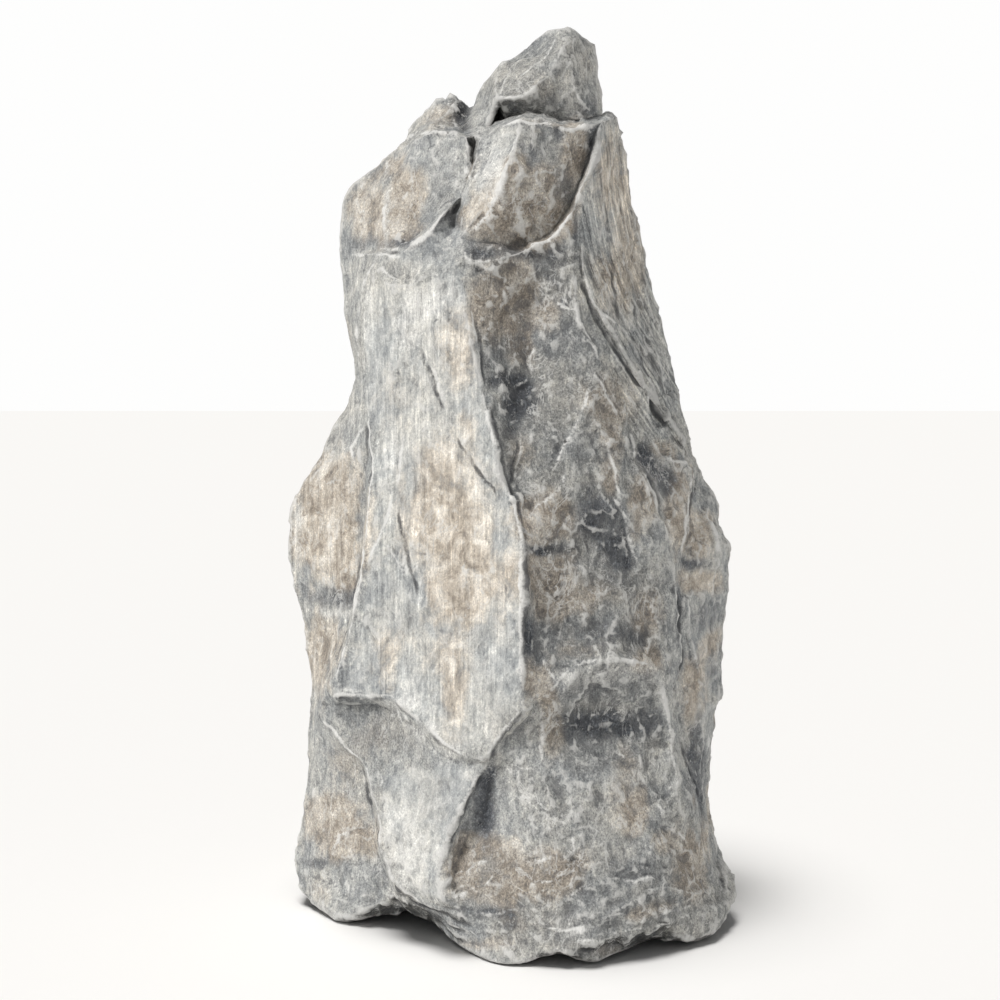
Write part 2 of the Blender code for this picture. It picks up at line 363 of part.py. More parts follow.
# The far side, on the same sight lines.
BACK_LINES = [
    ("back_peak", 0.9, [(559, 31, -3), (552, 50, 4), (548, 80, 9), (556, 120, 13), (550, 170, 17.5),
                        (560, 240, 21), (548, 300, 23.5), (562, 370, 25), (556, 450, 27),
                        (574, 530, 28.5), (566, 600, 29.5), (584, 670, 28.5),
                        (574, 740, 29.5), (588, 800, 28.5), (580, 846, 29)]),
    ("back_left", 0.85, [(473, 105, 3), (462, 125, 9), (440, 160, 14), (428, 210, 16.5),
                         (404, 270, 19), (410, 330, 18.5), (392, 400, 20), (376, 460, 21.5),
                         (360, 530, 22), (352, 600, 20.5), (364, 660, 21.5),
                         (350, 730, 22), (356, 790, 20.5), (350, 830, 20), (355, 856, 19)]),
    ("back_right", 0.85, [(606, 112, 7), (606, 150, 13), (616, 210, 15), (622, 280, 17.5),
                          (642, 350, 16.5), (650, 420, 18), (676, 490, 17),
                          (690, 560, 17.5), (684, 630, 18.5), (690, 690, 16.5),
                          (676, 760, 15.5), (690, 820, 13.5), (692, 862, 11)]),
    ("back_shelf", 0.8, [(404, 270, 19), (440, 282, 22.5), (490, 268, 24), (548, 300, 23.5),
                         (590, 292, 21.5), (622, 280, 17.5)]),
    ("back_shelf_under", 0.6, [(404, 284, 17.5), (440, 298, 20.5), (490, 284, 21.8), (544, 316, 22),
                               (592, 308, 20), (620, 296, 16.5)]),
    ("back_cleft", 0.7, [(490, 284, 21.8), (484, 340, 21), (500, 400, 22.5), (492, 460, 24.5)]),
    ("back_scar", 0.8, [(360, 530, 22), (410, 548, 26), (460, 520, 27), (510, 545, 28.5),
                        (574, 530, 28.5)]),
    ("back_scar_low", 0.6, [(410, 564, 24.3), (462, 540, 25.2), (512, 562, 26.6)]),
    ("back_gore", 0.8, [(460, 520, 27), (452, 600, 25.5), (470, 670, 26.5), (455, 740, 27.5),
                        (470, 800, 27), (462, 848, 27)]),
    ("back_apron", 0.8, [(350, 730, 22), (400, 700, 25.5), (455, 740, 27.5), (520, 712, 29.5),
                         (574, 740, 29.5), (630, 722, 25), (676, 760, 15.5)]),
    ("left_flank", 0.7, [(343, 290, 7), (362, 340, 12), (366, 400, 12), (346, 450, 13),
                         (322, 500, 13), (316, 560, 14), (322, 620, 12), (326, 680, 13.5),
                         (318, 740, 12), (320, 800, 12.5), (314, 850, 10)]),
    ("right_flank", 0.7, [(647, 270, 9), (656, 330, 12), (668, 390, 12), (684, 450, 11.5),
                          (706, 510, 10), (714, 570, 10), (712, 640, 11),
                          (706, 700, 9.5), (698, 760, 8), (704, 830, 7), (716, 868, 3)]),
    ("base_back", 0.7, [(299, 880, 0), (306, 885, 5), (318, 872, 12), (355, 856, 19), (405, 850, 25),
                        (462, 848, 27), (520, 846, 29), (580, 846, 29), (640, 850, 22),
                        (692, 862, 11), (716, 872, 3), (729, 878, -8)]),
]

BACK_KNOTS = [
    (530, 60, 6), (500, 85, 7), (580, 60, 6), (588, 95, 8), (510, 130, 14), (480, 150, 15.5),
    (580, 150, 16), (410, 175, 12), (380, 210, 12), (390, 250, 15.5), (480, 210, 19.5),
    (520, 220, 20), (590, 220, 19), (365, 280, 13), (450, 340, 20.2), (590, 360, 22.5),
    (440, 400, 22.5), (600, 440, 23.5), (450, 460, 24.5), (620, 510, 24), (410, 480, 23.5),
    (410, 610, 23), (520, 620, 28), (630, 590, 24.5), (410, 660, 24), (530, 670, 28.5),
    (635, 660, 24), (405, 770, 24.5), (520, 780, 29), (635, 780, 23), (405, 825, 24.5),
    (520, 825, 29.2), (640, 825, 22), (340, 620, 17), (340, 700, 17.5), (335, 780, 17),
    (340, 480, 17), (336, 560, 18.5), (660, 560, 21), (700, 600, 14.5), (698, 660, 14),
    (660, 470, 18.5),
]

# The underside, in metres (x, y, z): below nought it bears on the ground, above
# nought it arches clear.
UNDERSIDE = [
    (-0.245, 0.14, -0.02), (-0.10, 0.20, -0.02), (0.06, 0.22, -0.02), (0.21, 0.15, -0.02),
    (-0.255, 0.02, -0.02), (-0.10, 0.05, -0.022), (0.08, 0.06, -0.022), (0.27, 0.02, -0.02),
    (-0.25, -0.07, -0.012), (-0.17, -0.045, 0.012), (-0.115, -0.035, 0.008),
    (-0.075, -0.15, -0.012), (-0.015, -0.235, -0.015), (0.00, -0.10, -0.02),
    (0.055, -0.235, 0.01), (0.05, -0.17, -0.008), (0.125, -0.245, -0.01), (0.12, -0.12, -0.02),
    (0.20, -0.19, -0.008), (0.245, -0.15, 0.012), (0.30, -0.155, -0.01),
    (0.24, -0.08, -0.015),
]


def seen(point):
    """Where a point in metres lies on the picture plane."""
    off = point - STATION
    ahead = off.y * math.cos(DIP) - off.z * math.sin(DIP)
    up = off.y * math.sin(DIP) + off.z * math.cos(DIP)
    return 500.0 + PLANE * off.x / ahead, 500.0 - PLANE * up / ahead


class Sheet:
    """One side of the stone, laid out over the picture plane inside the outline."""

    def __init__(self):
        self.flat, self.solid, self.at = [], [], {}
        self.edges, self.sharpness = [], []

    def knot(self, h, v, place):
        key = (round(h * 2), round(v * 2))
        if key not in self.at:
            self.at[key] = len(self.flat)
            self.flat.append(Vector((h, -v)))
            self.solid.append(place)
        return self.at[key]

    def line(self, sharpness, knots):
        path = [self.knot(h, v, sight(h, v, d)) for h, v, d in knots]
        for a, b in zip(path, path[1:]):
            if a != b:
                self.edges.append((a, b))
                self.sharpness.append(sharpness)

    def place_on_edges(self, flat):
        """The place of a crossing of two lines: the mean of the lines' own places there."""
        found = []
        for a, b in self.edges:
            p, q = self.flat[a], self.flat[b]
            run = q - p
            t = (flat - p).dot(run) / run.length_squared
            if -0.001 <= t <= 1.001 and (p + run * t - flat).length < 0.05:
                found.append(self.solid[a].lerp(self.solid[b], t))
        return sum(found, Vector()) / len(found)

    def triangulate(self):
        rim = list(range(len(OUTLINE)))
        flat, edges, faces, origin, edge_origin, _ = delaunay_2d_cdt(
            self.flat, self.edges, [rim], 1, 1e-5)
        places = [self.solid[o[0]] if o else self.place_on_edges(f) for f, o in zip(flat, origin)]
        marks = {}
        for (a, b), source in zip(edges, edge_origin):
            own = [self.sharpness[i] for i in source if i < len(self.edges)]
            if own:
                marks[frozenset((a, b))] = max(own)
        return places, faces, marks, [o[0] if o else None for o in origin]


def front_sheet():
    sheet = Sheet()
    for h, v, d in OUTLINE:
        sheet.knot(h, v, sight(h, v, d))
    for _, sharpness, knots in FACE_LINES:
        sheet.line(sharpness, knots)
    for h, v, d in FACE_KNOTS:
        sheet.knot(h, v, sight(h, v, d))
    return sheet


def back_sheet():
    sheet = Sheet()
    for h, v, d in OUTLINE:
        sheet.knot(h, v, sight(h, v, d))
    for _, sharpness, knots in BACK_LINES:
        sheet.line(sharpness, knots)
    for h, v, d in BACK_KNOTS:
        sheet.knot(h, v, sight(h, v, d))
    for place in map(Vector, UNDERSIDE):
        sheet.knot(*seen(place), place)
    return sheet


class Skin:
    """The closed surface: its points, triangles, marked arrises, and which side each point is on."""

    def __init__(self):
        self.points, self.side, self.faces, self.marks = [], [], [], {}

    def add_sheet(self, sheet, is_far, rim):
        places, faces, marks, origin = sheet.triangulate()
        used = {i for face in faces for i in face}
        index = {}
        for i, (place, source) in enumerate(zip(places, origin)):
            if i not in used:
                continue
            on_rim = source is not None and source < len(OUTLINE)
            if on_rim and source in rim:
                index[i] = rim[source]
                continue
            index[i] = len(self.points)
            self.points.append(place)
            self.side.append(0.5 if on_rim else is_far)
            if on_rim:
                rim[source] = index[i]
        for face in faces:
            a, b, c = (index[i] for i in face)
            self.faces.append((a, c, b, is_far) if is_far else (a, b, c, is_far))
        for (a, b), sharpness in marks.items():
            if a in index and b in index:
                key = edge_key(index[a], index[b])
                self.marks[key] = max(self.marks.get(key, 0.0), sharpness)

    def split(self, factor):
        """Halves every edge over its limit; returns how many."""
        middle = {}
        for face in self.faces:
            for a, b in ((face[0], face[1]), (face[1], face[2]), (face[2], face[0])):
                key = edge_key(a, b)
                if key in middle:
                    continue
                a, b = key
                on_rim = key in self.rim
                limit = BACK_EDGE if face[3] and not on_rim else FRONT_EDGE
                if (self.points[a] - self.points[b]).length <= limit * factor:
                    continue
                new = middle[key] = len(self.points)
                self.points.append((self.points[a] + self.points[b]) / 2)
                self.side.append(0.5 if on_rim else face[3])
                halves = (edge_key(a, new), edge_key(b, new))
                if on_rim:
                    self.rim.remove(key)
                    self.rim.update(halves)
                if key in self.marks:
                    sharpness = self.marks.pop(key)
                    self.marks.update({half: sharpness for half in halves})
        faces = []
        for face in self.faces:
            a, b, c, s = face
            cuts = [middle.get(edge_key(*pair)) for pair in ((a, b), (b, c), (c, a))]
            made = sum(cut is not None for cut in cuts)
            while made and (cuts[0] is None or (made == 2 and cuts[1] is None)):
                a, b, c = b, c, a
                cuts = cuts[1:] + cuts[:1]
            if made == 0:
                faces.append((a, b, c, s))
            elif made == 1:
                faces += [(a, cuts[0], c, s), (cuts[0], b, c, s)]
            elif made == 2:
                p, q = cuts[0], cuts[1]
                faces.append((p, b, q, s))
                if (self.points[a] - self.points[q]).length < (self.points[c] - self.points[p]).length:
                    faces += [(a, p, q, s), (a, q, c, s)]
                else:
                    faces += [(a, p, c, s), (p, q, c, s)]
            else:
                p, q, r = cuts
                faces += [(a, p, r, s), (p, b, q, s), (r, q, c, s), (p, q, r, s)]
        self.faces = faces
        return len(middle)

    def normal(self, face):
        a, b, c = (self.points[i] for i in face[:3])
        return (b - a).cross(c - a)

    def flip(self):
        """Turns the diagonal of near-flat pairs of faces where that makes rounder triangles."""
        wings = {}
        for n, (a, b, c, _) in enumerate(self.faces):
            for pair in ((a, b), (b, c), (c, a)):
                wings.setdefault(edge_key(*pair), []).append(n)
        stale = set()
        for key in list(wings):
            pair = wings[key]
            if key in self.marks or key in self.rim or len(pair) != 2 or stale & set(pair):
                continue
            first, second = (self.faces[n] for n in pair)
            u, v = self.normal(first), self.normal(second)
            if u.length < 1e-12 or v.length < 1e-12 or u.angle(v) > 0.30:
                continue
            i = next(k for k in range(3) if first[k] not in key)
            apex, a, b = first[i], first[(i + 1) % 3], first[(i + 2) % 3]
            other = next(k for k in second[:3] if k not in key)
            if edge_key(apex, other) in wings:
                continue
            one, two = (apex, a, other, first[3]), (apex, other, b, first[3])
            p, q = self.normal(one), self.normal(two)
            if p.length < 1e-12 or q.length < 1e-12 or min(p.angle(u), q.angle(u), p.angle(v), q.angle(v)) > 0.35:
                continue
            if min(self.roundness(one), self.roundness(two)) > 1.05 * min(self.roundness(first), self.roundness(second)):
                self.faces[pair[0]], self.faces[pair[1]] = one, two
                wings[edge_key(apex, other)] = pair
                stale |= set(pair)

    def roundness(self, face):
        a, b, c = (self.points[i] for i in face[:3])
        sides = (b - a).length_squared + (c - b).length_squared + (a - c).length_squared
        return (b - a).cross(c - a).length / sides

    def refine(self):
        for factor in (4.0, 2.8, 2.0, 1.4, 1.0):
            for _ in range(3):
                self.flip()
                if not self.split(factor):
                    break
            self.flip()

    def neighbours(self):
        rings = [set() for _ in self.points]
        for a, b, c, _ in self.faces:
            rings[a] |= {b, c}
            rings[b] |= {a, c}
            rings[c] |= {a, b}
        return [sorted(ring) for ring in rings]

    def relax(self):
        """Eases the faces between the arrises; the arrises and the outline keep their places."""
        held = [1.0 if side == 0.5 else 0.0 for side in self.side]
        for (a, b), sharpness in self.marks.items():
            held[a] = max(held[a], sharpness)
            held[b] = max(held[b], sharpness)
        rings = self.neighbours()
        for _ in range(RELAX_ROUNDS):
            moved = []
            for i, ring in enumerate(rings):
                mean = sum((self.points[j] for j in ring), Vector()) / len(ring)
                moved.append(self.points[i].lerp(mean, RELAX_STEP * (1.0 - held[i])))
            self.points = moved

    def normals(self):
        found = [Vector() for _ in self.points]
        for face in self.faces:
            normal = self.normal(face)
            for i in face[:3]:
                found[i] += normal
        return [normal.normalized() for normal in found]


def edge_key(a, b):
    return (a, b) if a < b else (b, a)


def join_sheets():
    """Both sheets sewn together along the outline."""
    skin = Skin()
    rim = {}
    skin.add_sheet(front_sheet(), 0.0, rim)
    skin.add_sheet(back_sheet(), 1.0, rim)
    count = len(OUTLINE)
    skin.rim = {edge_key(rim[i], rim[(i + 1) % count]) for i in range(count)}
    return skin


def chip_height(place, size, seed):
    """Height of a field of tilted facets, about -1 to 1."""
    point = place / size + Vector((seed, 3.1 * seed, 7.7 * seed))
    gaps, centres = noise.voronoi(point)
    tilt = noise.noise_vector(centres[0] * 5.13)
    return (point - centres[0]).dot(tilt) * 1.6 + noise.noise(centres[0] * 3.7)


def chip(skin):
    """Broad shallow chips over every face, deeper round the back."""
    for i, normal in enumerate(skin.normals()):
        place, side = skin.points[i], skin.side[i]
        depth = CHIP_DEPTH * {0.0: 1.0, 0.5: 0.5, 1.0: BACK_CHIPS}[side]
        height = chip_height(Vector((place.x, place.y, place.z * 0.55)), CHIP_SIZE, 4.0)
        move = normal * depth * max(-1.2, min(1.2, height))
        if place.z < 0.004:
            move = Vector()
        skin.points[i] = place + move


def seat(skin):
    """Flattens what bears on the ground, and stands the stone over the origin."""
    for place in skin.points:
        place.z += EDGE_CLEARANCE
        if place.z < 0.0012:
            place.z = 0.0
        elif place.z < 0.0035:
            place.z = 0.0035
    low, high = (Vector([pick(p[i] for p in skin.points) for i in range(3)]) for pick in (min, max))
    shift = Vector((-(low.x + high.x) / 2, -(low.y + high.y) / 2, -low.z))
    skin.points = [place + shift for place in skin.points]
    return shift


def stone_material():
    material = bpy.data.materials.new("banded_grey_stone")
    material.use_nodes = True
    shader = material.node_tree.nodes["Principled BSDF"]
    shader.inputs["Base Color"].default_value = STONE_COLOUR
    shader.inputs["Roughness"].default_value = STONE_ROUGHNESS
    material.diffuse_color = STONE_COLOUR
    return material


def main():
    for thing in list(bpy.data.objects):
        bpy.data.objects.remove(thing, do_unlink=True)
    noise.seed_set(7)
    skin = join_sheets()
    skin.refine()
    skin.relax()
    chip(skin)
    shift = seat(skin)
    mesh = bpy.data.meshes.new(NAME)
    mesh.from_pydata(skin.points, [], [face[:3] for face in skin.faces])
    mesh.update()
    mesh.materials.append(stone_material())
    stone = bpy.data.objects.new(NAME, mesh)
    home = bpy.data.collections.new(COLLECTION)
    bpy.context.scene.collection.children.link(home)
    home.objects.link(stone)
    print("shift", tuple(round(x, 5) for x in shift), "triangles", len(mesh.polygons))


main()
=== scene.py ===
"""The boulder's finished looks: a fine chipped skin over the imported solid, its stone, and a plain studio."""

import math

import bpy
import numpy as np
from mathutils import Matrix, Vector, noise


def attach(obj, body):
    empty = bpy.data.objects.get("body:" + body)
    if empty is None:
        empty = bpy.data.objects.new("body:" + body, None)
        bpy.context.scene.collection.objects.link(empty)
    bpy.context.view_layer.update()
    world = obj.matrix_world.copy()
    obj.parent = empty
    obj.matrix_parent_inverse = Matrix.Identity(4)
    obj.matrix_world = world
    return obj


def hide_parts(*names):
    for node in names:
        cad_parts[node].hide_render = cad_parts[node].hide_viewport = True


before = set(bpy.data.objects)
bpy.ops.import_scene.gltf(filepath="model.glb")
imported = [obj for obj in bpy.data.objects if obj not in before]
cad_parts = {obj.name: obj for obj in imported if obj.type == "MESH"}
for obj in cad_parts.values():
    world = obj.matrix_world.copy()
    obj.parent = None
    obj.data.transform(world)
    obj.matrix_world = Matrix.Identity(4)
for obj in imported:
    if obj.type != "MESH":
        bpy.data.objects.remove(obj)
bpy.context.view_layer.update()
noise.seed_set(7)

# The eye point, the frame's distance in its own pixels and the dip of the view,
# for the photograph's 1000 x 1000 frame; SHIFT is how far the solid was moved
# to stand over the origin.
SHIFT = np.array((0.01315, 0.00788, 0.008))
STATION = np.array((-0.026, -2.615, 0.884)) + SHIFT
PLANE = 1500.0
DIP = math.atan2(100.0, 1500.0)

FRONT_EDGE = 0.0097     # longest mesh edge on the side towards the viewer
BACK_EDGE = 0.0134      # and round the back
CRACK_EDGE = 0.0060     # and beside cracks and arrises
CREASE = math.radians(24)

# Cracks and grooves: (half width px, depth mm, lip mm, knots across and down).
GROOVES = [
    (2.6, 7.0, 1.5, [(421, 346), (427, 362), (432, 375), (437.5, 391), (441.5, 402), (447, 412)]),
    (2.2, 2.5, 0.6, [(419, 286), (421, 305), (420, 318), (422, 346)]),
    (2.4, 3.5, 1.2, [(456, 432), (462, 443), (470, 453), (475.5, 465), (482, 474), (490, 483), (498, 491)]),
    (2.6, 6.0, 2.4, [(403, 510), (405, 535), (407, 548), (410, 565), (414.5, 578.5), (419, 591), (423, 601.5)]),
    (2.0, 2.5, 0.8, [(413, 471), (418.5, 484), (421.5, 498.5)]),
    (2.0, 2.2, 0.8, [(452, 525), (456, 545)]),
    (2.2, 3.0, 1.0, [(352, 505), (357, 520), (359, 540)]),
    (2.4, 3.0, 1.2, [(318, 508), (325, 520), (322, 538), (317, 545)]),
    (2.4, 5.0, 1.6, [(601, 286), (608, 297), (614, 306), (618, 318), (626, 326), (632, 335), (638, 343), (643, 358), (651, 374), (656, 381.5), (663, 393)]),
    (2.2, 4.0, 1.4, [(628, 300), (632, 311), (638.5, 323), (645.5, 337), (655, 350), (663, 365), (672, 395)]),
    (2.0, 3.0, 0.9, [(612, 252), (613, 275), (617, 296), (622, 310)]),
    (1.8, 2.4, 0.8, [(627, 255), (628, 280), (629, 300), (634, 318)]),
    (1.8, 2.4, 0.8, [(637, 258), (640, 285), (645, 308), (650, 330)]),
    (1.8, 2.2, 0.8, [(600, 235), (603, 262), (606, 283)]),
    (2.0, 3.4, 1.2, [(606, 345), (614, 362), (624, 378), (634, 396), (645, 415), (656, 432)]),
    (2.0, 3.0, 1.2, [(640, 305), (648, 330), (660, 352), (669, 378), (676, 402)]),
    (2.4, 3.4, 1.6, [(640, 471), (646, 477), (652, 487), (657, 497), (661, 508), (663, 522), (667, 538)]),
    (2.2, 2.6, 1.4, [(611, 492), (616, 501.5), (622, 508), (624.5, 518.5), (628.5, 534), (631.5, 548), (636, 558.5), (640, 569)]),
    (2.6, 3.2, 1.2, [(536, 552), (545, 547), (556, 551), (566, 553), (577, 550)]),
    (2.4, 2.6, 1.2, [(534, 563), (540, 575), (544, 588), (551, 595), (557, 606), (563, 625)]),
    (2.6, 3.2, 1.0, [(676, 590), (678, 610), (678, 632), (677, 655), (675, 680)]),
    (2.2, 3.0, 1.0, [(690, 560), (691, 585), (690, 612), (692, 640), (690, 672)]),
    (2.0, 2.6, 0.9, [(705, 668), (703, 690), (705, 712)]),
    (2.2, 3.6, 1.2, [(352, 900), (345, 895), (340, 880), (350, 868)]),
    (2.2, 2.8, 1.0, [(331, 905), (344, 899.5), (352, 890), (362, 884)]),
    (2.4, 2.6, 1.2, [(338, 846), (345, 834), (356, 829), (368, 830)]),
    (2.0, 2.4, 1.0, [(393, 704), (398, 716), (404, 724)]),
    (2.0, 2.4, 1.0, [(384, 704), (390, 716), (399, 728), (408, 733)]),
    (2.0, 2.2, 0.9, [(374, 703), (382, 718), (392, 731)]),
    (2.2, 3.0, 1.0, [(714.5, 861.5), (720, 874), (724.5, 888)]),
    (2.6, 3.0, 1.6, [(550, 936), (562, 933), (577, 925), (590, 922), (606, 915), (622, 916), (640, 913)]),
    (2.4, 3.0, 1.4, [(640, 925), (655, 920), (668, 914), (685, 918), (700, 912), (712, 906)]),
    (2.4, 2.4, 1.2, [(522, 918), (534, 928), (546, 934)]),
    (2.4, 2.6, 1.2, [(500, 907), (515, 905), (528, 909), (540, 916)]),
    (2.2, 2.6, 1.2, [(455, 875), (465, 872), (476, 864), (484, 856)]),
    (2.2, 2.4, 1.2, [(452, 893), (466, 890), (480, 884), (493, 873)]),
    (2.4, 3.0, 1.4, [(518, 855), (530, 861), (540, 857), (552, 850), (562, 852)]),
    (2.4, 2.6, 1.2, [(520, 872), (534, 880), (548, 886), (560, 884), (573, 878)]),
    (2.2, 2.6, 1.2, [(570, 871), (573, 858), (580, 849), (592, 846)]),
    (2.4, 3.0, 1.2, [(600, 880), (612, 874), (625, 878), (640, 872), (652, 878)]),
    (2.2, 3.0, 1.2, [(640, 867), (655, 862), (668, 870), (680, 866)]),
    (2.0, 2.4, 0.8, [(570, 832), (574, 850), (574, 870), (570, 892)]),
    (2.2, 2.8, 1.2, [(516, 795), (528, 798), (540, 806), (546, 812)]),
    (2.6, 2.8, 1.2, [(507, 762), (515, 768), (524, 766), (534, 772)]),
    (2.2, 2.6, 1.0, [(556, 824), (568, 834), (582, 829), (594, 828)]),
    (2.0, 2.4, 1.0, [(655, 820), (661, 832), (668, 824), (676, 836), (688, 846)]),
    (2.2, 2.6, 1.0, [(600, 752), (612, 742), (622, 752), (634, 765)]),
    (2.0, 2.4, 1.0, [(566, 764), (578, 756), (590, 751), (604, 758)]),
    (2.0, 2.2, 1.0, [(405, 440), (403, 455), (399, 470), (397, 485)]),
    (2.0, 2.2, 1.0, [(438, 595), (432, 603), (428, 610)]),
    (2.0, 2.2, 1.0, [(533, 283), (541, 292), (552, 299), (561, 287)]),
    (2.0, 2.4, 1.2, [(556, 300), (566, 306), (577, 309)]),
    (2.2, 2.4, 1.0, [(583, 338), (592, 352), (600, 364)]),
    (2.2, 2.6, 1.2, [(597, 375), (606, 388), (613, 402), (622, 416)]),
    (2.0, 2.4, 1.0, [(563, 405), (574, 418), (572, 432), (566, 448)]),
    (2.0, 2.2, 1.0, [(544, 436), (556, 446), (560, 458)]),
    (1.8, 2.2, 0.8, [(441, 100), (437, 112), (440, 122)]),
    (1.8, 2.0, 0.8, [(492, 140), (487, 160), (480, 182)]),
    (1.8, 2.0, 0.8, [(500, 160), (492, 176), (484, 196)]),
    (1.8, 2.0, 0.8, [(399, 206), (394, 218), (405, 222)]),
    (1.8, 2.0, 0.8, [(352, 209), (364, 208), (378, 210)]),
    (1.8, 2.4, 0.8, [(528, 72), (534, 84), (545, 90), (556, 86)]),
    (1.8, 2.4, 0.8, [(553, 40), (548, 52), (552, 62)]),
]

